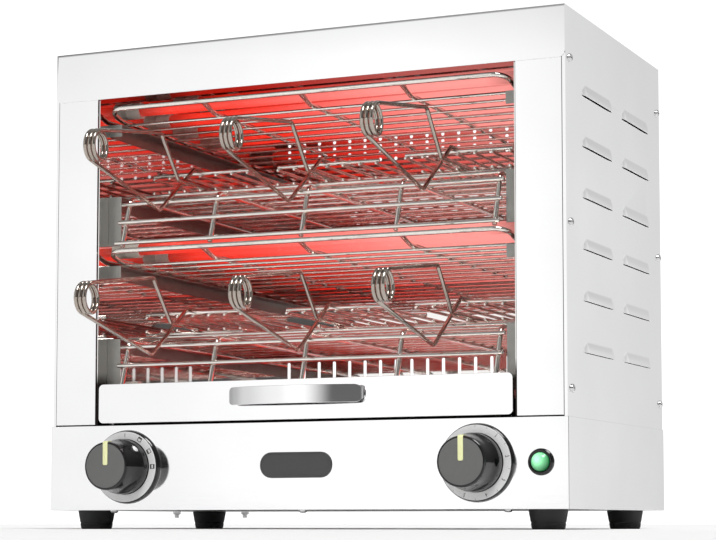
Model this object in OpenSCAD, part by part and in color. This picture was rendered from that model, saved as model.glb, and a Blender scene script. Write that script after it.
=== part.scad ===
// Two-deck clamp toaster with six spring tongs, a crumb tray, a selector and a timer.
// Housing coordinates: X to the right, Y to the rear, Z up, y = 0 on the front of the two columns.

/* [Housing] */
// Width over the two side panels
body_w = 440; // [430:1:460]
// Depth from the columns' front to the rear panel's outside
body_d = 253; // [252:1:270]
// Height of the housing without its feet
body_h = 375; // [375:1:390]
// Thickness of the sheet metal
sheet = 1; // [0.8:0.1:1.2]
// Height of the base with the controls
base_h = 68; // [66:1:76]
// Height of the front strip of the top cover
header_h = 40; // [34:1:44]
// Width of each front column
column_w = 39.5; // [38:0.5:44]
// Strip of side panel that shows beside a column
column_edge = 2.7; // [2.2:0.1:4]
// Depth of a column's outer flange
column_flange = 18; // [16:1:24]
// Depth of a column's jamb
column_jamb = 13; // [8:1:15]
// Depth of the folded edges of the sheets
fold = 12; // [8:1:14]
// Distance from the opening's edge to the polished wall inside
liner_step = 1.3; // [1.1:0.1:2]
// Radius of the front strip's lower corners
header_corner = 5; // [2:0.5:8]
// Depth of the reflector below the top of the housing
ceiling_drop = 28; // [16:1:30]

/* [Louvres] */
// Length of a louvre
louvre_l = 78; // [60:1:84]
// Height of a louvre's hood above its slit
louvre_h = 9; // [7:0.5:12]
// How far a hood stands out of the side panel
louvre_out = 2; // [1.6:0.1:4]
// Thickness of a hood
louvre_wall = 0.8; // [0.6:0.1:1.2]
// Rows of louvres on a side
louvre_rows = 6; // [3:1:6]
// Distance between rows of louvres
louvre_pitch = 39.2; // [30:0.2:40]
// Slit of the top row below the top of the housing
louvre_top = 61.5; // [58:0.5:66]
// Front end of the first column of louvres
louvre_y = 39; // [32:1:42]
// Distance between the two columns of louvres
louvre_step = 103; // [98:1:108]

/* [Rear panel] */
// Distance between the rear panel's columns of holes and slots
vent_pitch = 15.1; // [12:0.1:16]
// Columns of holes and slots
vent_columns = 18; // [8:2:18]
// Diameter of a round hole
vent_hole_d = 3.2; // [2:0.1:4.5]
// Rows of round holes
vent_rows = 4; // [2:1:5]
// Distance between rows of round holes
vent_row_pitch = 6.2; // [5:0.1:8]
// Top row of round holes below the top of the housing
vent_top = 40.5; // [34:0.5:48]
// Width of a slot
slot_w = 3; // [2:0.1:5]
// Height of a slot
slot_h = 48; // [30:1:56]
// Lower end of the slots above the base
slot_z = 19; // [10:1:24]

/* [Feet and screws] */
// Height of a foot
foot_h = 15; // [12:0.5:20]
// Diameter of a foot where it meets the base
foot_top_d = 30; // [26:1:34]
// Diameter of a foot on the floor
foot_d = 25; // [20:1:26]
// Distance from a foot's axis to the housing's sides
foot_x = 25; // [20:1:34]
// Distance from a foot's axis to the housing's front and rear
foot_y = 28; // [20:1:36]
// Diameter of a screw head
head_d = 6.5; // [5:0.5:8]
// Height of a screw head
head_h = 2; // [1.4:0.1:2.6]
// Diameter of a screw's shank
shank_d = 3.5; // [2.5:0.5:4]
// Clearance round a screw's shank
shank_gap = 0.2; // [0.1:0.05:0.4]
// Distance from the outer screws of the rear panel to the housing's sides
rear_screw_side = 70; // [50:1:100]
// Front side screws behind the columns' front
side_screw_y = 10.7; // [8:0.1:12]
// Lowest side screws above the base
side_screw_low = 20; // [16:1:30]

/* [Heating tubes] */
// Tubes on each of the three levels
tube_count = 4; // [2:1:4]
// Diameter of a quartz tube
tube_d = 10; // [8:0.5:11]
// Wall of a quartz tube
tube_wall = 1.2; // [0.8:0.1:1.6]
// Diameter of the heating core in a tube
core_d = 4; // [3:0.5:5]
// Distance between the tubes of a level
tube_pitch = 51.5; // [44:0.5:54]
// Top level of tubes below the top of the housing
tube_drop = 41; // [40:0.5:42]
// Lowest level of tubes above the base
tube_low = 32; // [30:0.5:34]
// Diameter of a ceramic cap
cap_d = 14; // [13.5:0.5:16]
// Length of a ceramic cap inside the polished wall
cap_in = 12; // [8:1:14]
// Length of a ceramic cap behind the polished wall
cap_out = 12; // [8:1:14]
// Clearance of tubes and caps in their seats
tube_gap = 0.2; // [0.1:0.05:0.3]

/* [Guards and racks] */
// Upper guard below the top of the housing
guard_drop = 54; // [53:0.5:55]
// Diameter of the guards' and racks' bent wires
frame_wire = 4; // [3.5:0.1:4.2]
// Diameter of a guard's straight wires
guard_bar = 2.5; // [2:0.1:3]
// Straight wires of a guard
guard_bars = 9; // [7:1:18]
// Distance from a guard's side wire to the polished wall
guard_side = 7; // [6:0.5:10]
// Rise of a guard's front lip
guard_lip_rise = 6; // [5:0.5:6.5]
// A guard's front wire behind the columns' front
guard_front = 3; // [2.5:0.5:5]
// Depth of a guard's front lip
guard_lip_d = 21; // [16:1:24]
// Radius of a guard's front corners
guard_corner = 12; // [8:1:16]
// Upper rack below the top of the housing
rack_drop = 120; // [119:0.5:121]
// Diameter of a rack's straight wires
rack_bar = 3; // [2.5:0.1:3.2]
// Straight wires of a rack's deck
rack_bars = 10; // [8:1:10]
// Distance between the straight wires of a rack's deck
rack_pitch = 22.86; // [20:0.02:22.9]
// First straight wire of a rack's deck behind the columns' front
rack_first = 35.1; // [33:0.1:35.6]
// Distance from a rack's outer bent wires to the polished walls
rack_edge = 18.2; // [16:0.1:24]
// Distance from the end of a rack's lip to the front wire of the guard below
lip_gap = 3.5; // [3:0.5:4.5]
// Slope of a rack's lip towards the front, as run over fall
rack_lip_lean = 0.33; // [0.25:0.01:0.36]
// Diameter of the lip's straight wires
lip_bar = 3.5; // [3:0.1:3.6]
// Places of the lip's straight wires down the lip, as shares of its height
lip_shares = [0.16, 0.53, 0.955]; // [0.15:0.005:0.96]
// Where a rack's deck bends down, behind the columns' front
rack_bend_y = 20.8; // [20:0.1:22]
// Radius of that bend
rack_bend_r = 8; // [6:0.5:10]
// Gap in the butt joints between a rack's deck and its lip
butt_gap = 0.1; // [0.05:0.05:0.2]
// Depth to which welded wires sink into each other
weld = 0.3; // [0.2:0.05:0.5]
// Width of a rail's ledge
rail_w = 12; // [10:0.5:14]
// Height of a rail's web
rail_h = 10; // [8:0.5:12]
// Clearance of the guards and racks above their rails
seat_gap = 0.2; // [0.1:0.05:0.3]

/* [Tongs] */
// Places of the three upper tongs, as shares of the way from the middle to the polished walls
tong_x_upper = [-0.642, 0, 0.653]; // [-0.66:0.001:0.675]
// Places of the three lower tongs, as shares of the same way
tong_x_lower = [-0.642, 0.045, 0.675]; // [-0.66:0.001:0.675]
// How far each upper tong stands out of its home place
tong_pull_upper = [0, 0, 11]; // [0:1:12]
// How far each lower tong stands out of its home place
tong_pull_lower = [11, 0, 0]; // [0:1:12]
// Distance of a coil in front of the columns when its tong is home
tong_home = 110; // [110:1:116]
// Diameter of a tong's spring wire
spring_wire = 3.2; // [3:0.1:3.6]
// Radius of a coil on its wire's centre line
coil_r = 11.2; // [9:0.1:13]
// Gap between the turns of a coil
coil_gap = 0.4; // [0.35:0.05:1]
// Whole turns of a coil besides its last part turn
coil_loops = 2; // [1:1:3]
// Height of a coil's axis above the lower jaw's bars
coil_rise = 13; // [12:0.5:14]
// Upper leg's bend behind the coil
upper_bend_y = 90.5; // [84:0.5:96]
// Upper leg's bend above the coil
upper_bend_z = 24.6; // [20:0.2:27]
// Foot of the upper leg behind the coil
upper_foot_y = 120; // [114:1:124]
// Lower leg's bend behind the coil
lower_bend_y = 104.4; // [102:0.2:106]
// Lower leg's bend below the coil
lower_bend_z = 35.1; // [34:0.1:36]
// Foot of the lower leg in front of the jaw's bar
lever_foot = 5; // [4:0.5:7]
// Radius of the legs' bends
leg_bend = 5; // [4:0.5:7]
// Front bar of the jaws behind the coil
jaw_y = 168; // [166:1:172]
// Length of a leg's end along its jaw
stem_l = 20; // [12:1:30]
// Width of a jaw
jaw_w = 90; // [80:1:92]
// Depth of a jaw between its front and rear bars
jaw_d = 160; // [130:1:162]
// Middle bar behind the front bar
jaw_mid = 79.6; // [60:0.1:90]
// Diameter of a jaw's bars
jaw_bar = 3.5; // [3:0.1:3.6]
// Diameter of a jaw's wires
jaw_wire = 2.5; // [2:0.1:2.8]
// Wires of a jaw
jaw_wires = 7; // [5:2:7]
// Distance between a jaw's wires
jaw_pitch = 14.5; // [12:0.1:14.6]
// How far a jaw's wires stand past its bars
jaw_over = 4; // [2:0.5:5]
// Gap between the closed jaws' wires
jaw_gap = 9; // [8:0.5:10]
// Gap between pieces of a tong that lie on each other
tong_seat = 0.1; // [0.05:0.05:0.2]
// Gap between a lower jaw and its rack
deck_seat = 0.2; // [0.1:0.05:0.4]

/* [Crumb tray] */
// Gap between the tray's front and the columns
tray_gap = 3; // [2:0.5:8]
// Height of the tray's front
tray_front_h = 31.5; // [28:0.5:32]
// Lower edge of the tray's front above the base
tray_front_z = 2; // [1:0.5:3]
// Radius of the corners of the tray's front
tray_corner = 4; // [2:0.5:8]
// Gap between the tray's pan and the polished walls
pan_side = 6.2; // [5:0.2:16]
// Depth of the tray's pan
pan_d = 234; // [200:1:236]
// Height of the pan's walls
pan_h = 15; // [8:1:18]
// Running gap under the pan
pan_gap = 0.3; // [0.2:0.05:0.5]
// Length of the bow handle
handle_w = 116; // [90:1:130]
// Height of the bow handle
handle_h = 14; // [10:0.5:18]
// Thickness of the bow handle
handle_t = 1.5; // [1:0.1:2]
// How far the bow stands out
handle_out = 15; // [14:0.5:22]
// Radius of the bow's bends
handle_bend = 10; // [6:0.5:12]
// Length of the handle's flat ends
handle_tab = 8; // [7:0.5:12]
// Height of the bow above the middle of the tray's front
handle_rise = 2.9; // [0:0.1:4]

/* [Controls] */
// Distance from a knob's axis to the housing's side
knob_side = 70.5; // [66:0.5:80]
// Height of the controls above the base's lower edge
control_z = 34.6; // [33:0.2:36]
// Diameter of a control's bezel
bezel_d = 58; // [52:1:60]
// Thickness of a bezel
bezel_t = 3; // [2.5:0.1:5]
// Outer diameter of a scale ring
scale_d = 53.5; // [50:0.5:55]
// Thickness of a scale ring
scale_t = 0.4; // [0.3:0.1:0.8]
// Gap between a knob and its scale
knob_gap = 0.6; // [0.4:0.1:1]
// Diameter of a knob at its foot
knob_d = 43.5; // [40:0.5:45]
// Diameter of a knob's face
knob_face_d = 38; // [34:0.5:40]
// Height of a knob
knob_h = 31; // [28:0.5:36]
// Width of a pointer
pointer_w = 3.6; // [2:0.2:4]
// Depth of a pointer's groove
pointer_t = 0.5; // [0.3:0.1:0.8]
// Diameter of a control's shaft
shaft_d = 6; // [5:0.5:8]
// Running clearance of a shaft in its switch
shaft_gap = 0.05; // [0.02:0.01:0.1]
// Clearance of a shaft in its scale ring
panel_gap = 1; // [0.5:0.1:1.5]
// Width of a switch or timer body
switch_w = 40; // [30:1:46]
// Depth of a switch or timer body
switch_d = 34; // [24:1:44]
// Width of the timer's case
timer_w = 46; // [40:1:50]
// Depth of the timer's case
timer_d = 40; // [30:1:50]
// Distance from the lamp's axis to the housing's side
lamp_side = 20.5; // [16:0.5:26]
// Diameter of the lamp's bezel
lamp_d = 20; // [16:0.5:22]
// Diameter of the lamp's lens
lens_d = 14; // [10:0.5:15]
// Width of the plate between the controls
badge_w = 61; // [40:1:70]
// Height of the plate between the controls
badge_h = 20; // [12:0.5:24]
// Thickness of the plate
badge_t = 1.2; // [0.8:0.1:2]

/* [Supply] */
// Distance from the cable gland's axis to the housing's side
gland_side = 70; // [50:1:100]
// Height of the gland above the base's lower edge
gland_z = 30; // [20:1:40]
// Diameter of the gland's thread
gland_d = 16; // [12:1:20]
// How far the gland stands out of the rear panel
gland_out = 10; // [8:1:16]
// Bore of the gland
gland_bore = 8; // [6:0.5:10]
// Length of the terminal block
terminal_w = 50; // [30:1:60]
// Depth of the terminal block
terminal_d = 22; // [16:1:30]
// Height of the terminal block
terminal_h = 18; // [12:1:24]
// Terminal block in front of the rear panel
terminal_y = 50; // [45:1:70]

/* [Hidden] */
$fn = 48;
steel = [0.82, 0.83, 0.85];
polished = [0.9, 0.91, 0.92];
chrome = [0.74, 0.75, 0.78];
black = [0.09, 0.09, 0.1];
charcoal = [0.2, 0.2, 0.22];
ceramic = [0.9, 0.88, 0.82];
quartz = [0.95, 0.6, 0.5];
ember = [0.9, 0.25, 0.1];
green = [0.2, 0.75, 0.35];
beige = [0.85, 0.82, 0.7];
half_w = body_w / 2;
base_z = foot_h;
deck_z = base_z + base_h;
top_z = base_z + body_h;
header_z = top_z - header_h;
ceiling_z = top_z - ceiling_drop;
sheet_gap = 0.2;
liner_t = 0.8;
open_x = half_w - column_w;
wall_x = open_x - liner_step;
edge_x = half_w - sheet - sheet_gap;
rear_face = body_d - sheet;
rear_stop = rear_face - sheet_gap;
column_x = half_w - column_edge;
column_top = top_z - 2 * sheet - sheet_gap;
flange_y = column_flange + sheet_gap;
side_screw_rear = rear_face - fold / 2;
side_screw_z = [for (i = [0:2]) header_z + 1 - i * (header_z - deck_z - side_screw_low) / 2];
rear_top_x = [for (side = [-1:1]) side * (half_w - rear_screw_side)];
rear_low_z = [0.25 * base_h, 0.75 * base_h];
hood_r = (louvre_out * louvre_out + louvre_h * louvre_h) / (2 * louvre_out);
hood_in = hood_r - louvre_out;
hood_slot = louvre_h - 3;
arc_steps = 6;
hood_steps = 18;
bend_steps = 4;
wire_sides = 8;
deck_pitch = (body_h - base_h - tube_drop - tube_low) / 2;
guard_z = top_z - guard_drop;
guard_x = wall_x - guard_side;
guard_mid = guard_x / 2;
guard_back = rear_stop - 12;
guard_first = guard_front + guard_lip_d + 6;
guard_bar_pitch = (guard_back - guard_first - 4) / (guard_bars - 1);
guard_bar_z = guard_z - (frame_wire + guard_bar) / 2 + weld;
guard_rail_z = guard_bar_z - guard_bar / 2 - seat_gap;
rack_z = top_z - rack_drop;
rack_bar_z = rack_z + (frame_wire + rack_bar) / 2 - weld;
rack_rail_z = rack_bar_z - rack_bar / 2 - seat_gap;
rack_last = rack_first + (rack_bars - 1) * rack_pitch;
rack_back = rack_last + 4;
rack_mid = (wall_x - rack_edge) / 2;
rack_lip_h = deck_pitch + guard_drop - guard_lip_rise - rack_drop - lip_gap;
rack_end_x = 2 * rack_mid + 5;
rack_seat_x = wall_x - rail_w + 7;
lip_unit = unit([-rack_lip_lean, -1]);
lip_step = (frame_wire + lip_bar) / 2 - weld;
rail_t = 1;
rail_y = 16;
tube_z = top_z - tube_drop;
tube_y0 = (rear_face - (tube_count - 1) * tube_pitch) / 2;
cap_end = 4;
tube_end = wall_x + cap_out - cap_end - tube_gap;
core_end = wall_x + cap_out + 3;
deck_top = rack_bar_z + rack_bar / 2;
jaw_low = deck_top + deck_seat + jaw_bar / 2;
coil_z = jaw_low + coil_rise;
wire_step = (jaw_bar + jaw_wire) / 2 - weld;
jaw_high = jaw_low + 2 * wire_step + jaw_wire + jaw_gap;
stem_step = (jaw_bar + spring_wire) / 2 + tong_seat;
stem_low = jaw_low + stem_step - coil_z;
stem_high = jaw_high + stem_step - coil_z;
upper_bend = [upper_bend_y, upper_bend_z];
lower_bend = [lower_bend_y, -lower_bend_z];
coil_start = leave_angle(upper_bend, 1);
coil_sweep = leave_angle(lower_bend, -1) + 360 * (coil_loops + 1) - coil_start;
coil_end = coil_start + coil_sweep;
coil_x = coil_sweep / 360 * (spring_wire + coil_gap) / 2;
coil_rings = 10;
coil_steps = ceil(coil_rings * coil_sweep / 360);
lever_gap = 0.4;
coil_tail = 0.5;
tong_x = wall_x * concat(tong_x_upper, tong_x_lower);
tong_pull = concat(tong_pull_upper, tong_pull_lower);
tray_w = 2 * (open_x - tray_gap);
tray_z = deck_z + tray_front_z;
pan_w = 2 * (wall_x - pan_side);
pan_z = deck_z + pan_gap;
pan_t = 0.8;
rivet_d = 4.4;
rivet_h = 1.2;
control_h = base_z + control_z;
knob_x = half_w - knob_side;
knob_foot = bezel_t + scale_t + knob_gap;
knob_full = 10;
knob_edge = 1.5;
shaft_reach = 18;
bushing_l = 4;
bushing_d = 14;
panel_hole = 10;
lamp_x = half_w - lamp_side;
lamp_rim = 2.5;
lamp_stem_d = 12;
lamp_stem = 24;
lens_base = 1;
lens_cap = 4;
lens_gap = 0.15;
gland_x = half_w - gland_side;
gland_nut_d = gland_d + 8;
gland_nut = 4;
gland_in = 10;
screw_l = 6;
front_reach = tong_home + max(tong_pull) + coil_r + spring_wire / 2;
frame_y = (front_reach - body_d - gland_out) / 2;

function unit(v) = v / norm(v);

// Angle at which a straight leg to the point p leaves the coil's circle
function leave_angle(p, turn) = atan2(p[1], p[0]) + turn * acos(coil_r / norm(p));

// Points of a rectangle about the origin with rounded corners
function round_rect(w, h, r) = [for (c = [[1, 1, 0], [-1, 1, 90], [-1, -1, 180], [1, -1, 270]])
    for (i = [0:arc_steps]) let (a = c[2] + 90 * i / arc_steps)
        [c[0] * (w / 2 - r) + r * cos(a), c[1] * (h / 2 - r) + r * sin(a)]];

// Points of an arc of radius r that rounds the corner b between a and c
function corner(a, b, c, r) = let (u = unit(a - b), w = unit(c - b), half = acos(u * w) / 2,
    mid = b + unit(u + w) * (r / sin(half)), from = (b + u * (r / tan(half)) - mid),
    to = (b + w * (r / tan(half)) - mid), turn = 180 - 2 * half)
    [for (i = [0:bend_steps]) let (t = i / bend_steps)
        mid + (sin((1 - t) * turn) * from + sin(t * turn) * to) / sin(turn)];

function round_path(p, r) = [p[0], for (i = [1:len(p) - 2]) each corner(p[i - 1], p[i], p[i + 1], r),
    p[len(p) - 1]];

function heading(p, i) = unit(p[min(i + 1, len(p) - 1)] - p[max(i - 1, 0)]);

// Ring of points round a wire, square to the wire's heading t
function wire_ring(p, t, r, side) = let (a = unit(side - t * (side * t)), b = cross(t, a))
    [for (k = [0:wire_sides - 1]) p + r * (cos(360 * k / wire_sides) * a + sin(360 * k / wire_sides) * b)];

// One unbroken wire along a path
module wire(path, d, side) {
    last = (len(path) - 1) * wire_sides;
    polyhedron(
        points = [for (i = [0:len(path) - 1]) each wire_ring(path[i], heading(path, i), d / 2, side)],
        faces = [
            for (k = [1:wire_sides - 2]) [0, k, k + 1],
            for (k = [1:wire_sides - 2]) [last, last + k + 1, last + k],
            for (i = [0:len(path) - 2]) for (k = [0:wire_sides - 1])
                let (a = i * wire_sides + k, b = i * wire_sides + (k + 1) % wire_sides)
                each [[a, a + wire_sides, b + wire_sides], [a, b + wire_sides, b]]
        ],
        convexity = 10);
}

module part(shade) {
    color(shade) translate([0, frame_y, 0]) children();
}

module box(low, high) {
    translate(low) cube(high - low);
}

module rod_x(reach, y, z, d) {
    translate([-reach, y, z]) rotate([0, 90, 0]) cylinder(d = d, h = 2 * reach);
}

module rod_y(from, to, x, z, d) {
    translate([x, from, z]) rotate([-90, 0, 0]) cylinder(d = d, h = to - from);
}

// A flat shape drawn in X and Z, given thickness t towards the rear
module upright(y, t) {
    translate([0, y + t, 0]) rotate([90, 0, 0]) linear_extrude(t) children();
}

// Turns a shape so that its Z axis points out of the control panel
module on_panel(x) {
    translate([x, -sheet, control_h]) rotate([90, 0, 0]) children();
}

// Housing

module top_cover() {
    part(steel) {
        box([-edge_x, -sheet, top_z - sheet], [edge_x, body_d + sheet, top_z]);
        difference() {
            box([-edge_x, body_d, top_z - fold], [edge_x, body_d + sheet, top_z - sheet]);
            rear_top_holes();
        }
        upright(-sheet, sheet) translate([0, header_z + header_h / 2]) union() {
            polygon(round_rect(body_w, header_h, header_corner));
            translate([-half_w, 0]) square([body_w, header_h / 2]);
        }
    }
}

// Half of a louvre's hood: a capsule cut by the panel and by the slit's plane
module capsule(r, l) {
    rotate([-90, 0, 0]) rotate_extrude() polygon(concat(
        [for (i = [0:hood_steps]) let (a = 90 * i / hood_steps) [r * sin(a), -r * cos(a)]],
        [for (i = [0:hood_steps]) let (a = 90 - 90 * i / hood_steps) [r * sin(a), l + r * cos(a)]]));
}

module louvre() {
    straight = louvre_l - 2 * louvre_h;
    difference() {
        translate([-hood_in, louvre_h, 0]) capsule(hood_r, straight);
        translate([-hood_in, louvre_h, 0]) capsule(hood_r - louvre_wall, straight);
        box([-2 * hood_r, -hood_r, -2 * hood_r], [2 * hood_r, louvre_l + hood_r, 0]);
        box([-2 * hood_r, -hood_r, -1], [-sheet, louvre_l + hood_r, 2 * hood_r]);
    }
}

module louvre_places() {
    for (row = [0:louvre_rows - 1]) for (col = [0:1])
        translate([half_w, louvre_y + col * louvre_step, top_z - louvre_top - row * louvre_pitch]) children();
}

module side_screw_places() {
    for (z = side_screw_z) for (y = [side_screw_y, side_screw_rear])
        translate([half_w, y, z]) rotate([0, 90, 0]) children();
}

module side_panel() {
    difference() {
        union() {
            box([half_w - sheet, 0, deck_z], [half_w, body_d, top_z]);
            box([column_x + sheet_gap, 0, deck_z], [half_w - sheet, sheet, top_z - sheet]);
            box([half_w - fold, flange_y, deck_z], [half_w - sheet, rear_face - fold - 1, deck_z + sheet]);
            box([half_w - fold, flange_y, top_z - 2 * sheet],
                [half_w - sheet, rear_face - fold - 1, top_z - sheet]);
        }
        side_screw_places() cylinder(d = shank_d + 2 * shank_gap, h = 4 * sheet, center = true);
        louvre_places() box([-2 * sheet, louvre_h, 0], [sheet, louvre_l - louvre_h, hood_slot]);
    }
    louvre_places() louvre();
}

module left_side_panel() {
    part(steel) mirror([1, 0, 0]) side_panel();
}

module right_side_panel() {
    part(steel) side_panel();
}

module front_column() {
    difference() {
        union() {
            box([open_x, 0, deck_z], [column_x, sheet, column_top]);
            box([open_x, 0, deck_z], [open_x + sheet, column_jamb, column_top]);
            box([column_x - sheet, 0, deck_z], [column_x, column_flange, column_top]);
        }
        side_screw_places() cylinder(d = shank_d + 2 * shank_gap, h = 4 * column_edge, center = true);
    }
}

module left_front_column() {
    part(steel) mirror([1, 0, 0]) front_column();
}

module right_front_column() {
    part(steel) front_column();
}

module base_shell() {
    part(steel) {
        upright(-sheet, sheet) difference() {
            translate([-half_w - sheet, base_z]) square([body_w + 2 * sheet, base_h]);
            for (x = [-knob_x, knob_x]) translate([x, control_h]) circle(d = panel_hole);
            translate([lamp_x, control_h]) circle(d = lamp_stem_d + 2 * sheet_gap);
        }
        for (side = [0, 1]) mirror([side, 0, 0]) {
            box([half_w, 0, base_z], [half_w + sheet, body_d, deck_z]);
            difference() {
                box([half_w - fold, rear_face - sheet, base_z + 2 * sheet],
                    [half_w, rear_face, deck_z - 2 * sheet]);
                rear_low_places() cylinder(d = shank_d + 2 * shank_gap, h = 4 * sheet, center = true);
            }
        }
    }
}

module foot_places() {
    for (x = [-half_w + foot_x, half_w - foot_x]) for (y = [foot_y, body_d - foot_y])
        translate([x, y, 0]) children();
}

module base_floor() {
    part(steel) difference() {
        box([-half_w + sheet_gap, 0, base_z], [half_w - sheet_gap, rear_stop, base_z + sheet]);
        foot_places() cylinder(d = shank_d + 2 * shank_gap, h = top_z);
    }
}

module base_top() {
    part(steel) box([-half_w + sheet_gap, 0, deck_z - sheet], [half_w - sheet_gap, rear_stop, deck_z]);
}

module rear_low_places() {
    for (z = rear_low_z)
        translate([half_w - fold / 2, body_d, base_z + z]) rotate([-90, 0, 0]) children();
}

module rear_top_places() {
    for (x = rear_top_x)
        translate([x, body_d + sheet, top_z - fold / 2]) rotate([-90, 0, 0]) children();
}

module rear_top_holes() {
    rear_top_places() cylinder(d = shank_d + 2 * shank_gap, h = 3 * screw_l, center = true);
}

module rear_panel() {
    vent_x = (vent_columns - 1) * vent_pitch / 2;
    part(steel) difference() {
        union() {
            upright(rear_face, sheet) difference() {
                translate([-edge_x, base_z + 2 * sheet])
                    square([2 * edge_x, body_h - 3 * sheet - sheet_gap]);
                for (i = [0:vent_columns - 1]) translate([i * vent_pitch - vent_x, 0]) {
                    translate([0, deck_z + slot_z + slot_h / 2])
                        polygon(round_rect(slot_w, slot_h, slot_w * 0.45));
                    for (j = [0:vent_rows - 1])
                        translate([0, top_z - vent_top - j * vent_row_pitch]) circle(d = vent_hole_d);
                }
                translate([gland_x, base_z + gland_z]) circle(d = gland_d + 2 * sheet_gap);
            }
            for (side = [0, 1]) mirror([side, 0, 0])
                box([edge_x - sheet, rear_face - fold, deck_z], [edge_x, rear_face, column_top]);
        }
        for (side = [0, 1]) mirror([side, 0, 0]) {
            side_screw_places() cylinder(d = shank_d + 2 * shank_gap, h = 4 * column_edge, center = true);
            rear_low_places() cylinder(d = shank_d + 2 * shank_gap, h = 4 * sheet, center = true);
        }
        rear_top_holes();
    }
}

// Inside of the heating space

module tube_places() {
    for (level = [0:2]) for (i = [0:tube_count - 1])
        translate([0, tube_y0 + i * tube_pitch, tube_z - level * deck_pitch]) children();
}

module liner() {
    difference() {
        union() {
            box([wall_x, sheet + sheet_gap, deck_z], [wall_x + liner_t, rear_stop, ceiling_z]);
            box([wall_x, column_jamb + sheet_gap, deck_z], [wall_x + fold, rear_stop, deck_z + liner_t]);
        }
        tube_places() rotate([0, 90, 0]) cylinder(d = cap_d + 2 * tube_gap, h = half_w);
    }
}

module left_liner() {
    part(polished) mirror([1, 0, 0]) liner();
}

module right_liner() {
    part(polished) liner();
}

module ceiling_reflector() {
    reach = wall_x + liner_t;
    part(polished) {
        box([-reach, sheet + sheet_gap, ceiling_z], [reach, rear_stop, ceiling_z + liner_t]);
        difference() {
            for (y = [sheet + sheet_gap, rear_stop - liner_t])
                box([-reach, y, ceiling_z], [reach, y + liner_t, top_z - sheet]);
            rear_top_holes();
        }
    }
}

module guard() {
    lip_y = guard_front + guard_lip_d;
    side = [[guard_x, guard_back, guard_z], [guard_x, lip_y, guard_z],
        [guard_x, guard_front, guard_z + guard_lip_rise]];
    wire(round_path([for (p = side) [-p[0], p[1], p[2]], side[2], side[1], side[0]], guard_corner),
        frame_wire, [0, 0, 1]);
    for (x = [-guard_mid, 0, guard_mid])
        wire(round_path([[x, guard_back, guard_z], [x, lip_y, guard_z],
            [x, guard_front + 1, guard_z + guard_lip_rise]], guard_corner), frame_wire, [1, 0, 0]);
    for (i = [0:guard_bars - 1])
        rod_x(guard_x + 2, guard_first + i * guard_bar_pitch, guard_bar_z, guard_bar);
}

module top_guard() {
    part(chrome) guard();
}

module middle_guard() {
    part(chrome) translate([0, 0, -deck_pitch]) guard();
}

// A flat deck and a front lip, whose bent wires are butted onto the ends of the deck's wires
module rack() {
    joint_y = rack_bend_y + rack_bend_r;
    for (x = [for (i = [-2:2]) i * rack_mid]) {
        rod_y(joint_y + butt_gap, rack_back, x, rack_z, frame_wire);
        wire(round_path([[x, joint_y, rack_z], [x, rack_bend_y, rack_z],
            [x, rack_bend_y - rack_lip_lean * rack_lip_h, rack_z - rack_lip_h]], rack_bend_r),
            frame_wire, [1, 0, 0]);
    }
    for (i = [0:rack_bars - 1])
        rod_x(rack_seat_x, rack_first + i * rack_pitch, rack_bar_z, rack_bar);
    for (fall = rack_lip_h * lip_shares)
        rod_x(rack_end_x, rack_bend_y - rack_lip_lean * fall + lip_step * lip_unit[1],
            rack_z - fall - lip_step * lip_unit[0], lip_bar);
}

module upper_rack() {
    part(chrome) rack();
}

module lower_rack() {
    part(chrome) translate([0, 0, -deck_pitch]) rack();
}

// A rail's web on the polished wall and its ledge, with a front plate of height drop
module rail(z, drop) {
    box([wall_x - rail_t, rail_y, z - rail_h], [wall_x, rear_stop, z]);
    box([wall_x - rail_w, rail_y, z - rail_t], [wall_x, rear_stop, z]);
    box([wall_x - rail_w, rail_y, z - drop], [wall_x, rail_y + rail_t, z]);
}

module support_rails() {
    part(steel) for (side = [0, 1]) mirror([side, 0, 0]) for (level = [0, deck_pitch]) {
        rail(guard_rail_z - level, rail_h);
        rail(rack_rail_z - level, rack_lip_h - 1);
    }
}

module quartz_tubes() {
    part(quartz) tube_places() rotate([0, 90, 0]) difference() {
        cylinder(d = tube_d, h = 2 * tube_end, center = true);
        cylinder(d = tube_d - 2 * tube_wall, h = 3 * tube_end, center = true);
    }
}

module heating_cores() {
    part(ember) tube_places() rotate([0, 90, 0]) cylinder(d = core_d, h = 2 * core_end, center = true);
}

module tube_caps() {
    part(ceramic) tube_places() for (side = [0, 1]) mirror([side, 0, 0])
        translate([wall_x - cap_in, 0, 0]) rotate([0, 90, 0]) difference() {
            cylinder(d = cap_d, h = cap_in + cap_out);
            translate([0, 0, -1]) cylinder(d = tube_d + 2 * tube_gap, h = cap_in + cap_out - cap_end + 1);
            cylinder(d = core_d + 2 * tube_gap, h = 2 * (cap_in + cap_out));
        }
}

// Crumb tray

module crumb_pan() {
    part(steel) difference() {
        box([-pan_w / 2, sheet, pan_z], [pan_w / 2, sheet + pan_d, pan_z + pan_h]);
        box([-pan_w / 2 + pan_t, sheet + pan_t, pan_z + pan_t],
            [pan_w / 2 - pan_t, sheet + pan_d - pan_t, pan_z + 2 * pan_h]);
    }
}

module tray_front() {
    part(steel) upright(0, sheet) translate([0, tray_z + tray_front_h / 2])
        polygon(round_rect(tray_w, tray_front_h, tray_corner));
}

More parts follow.
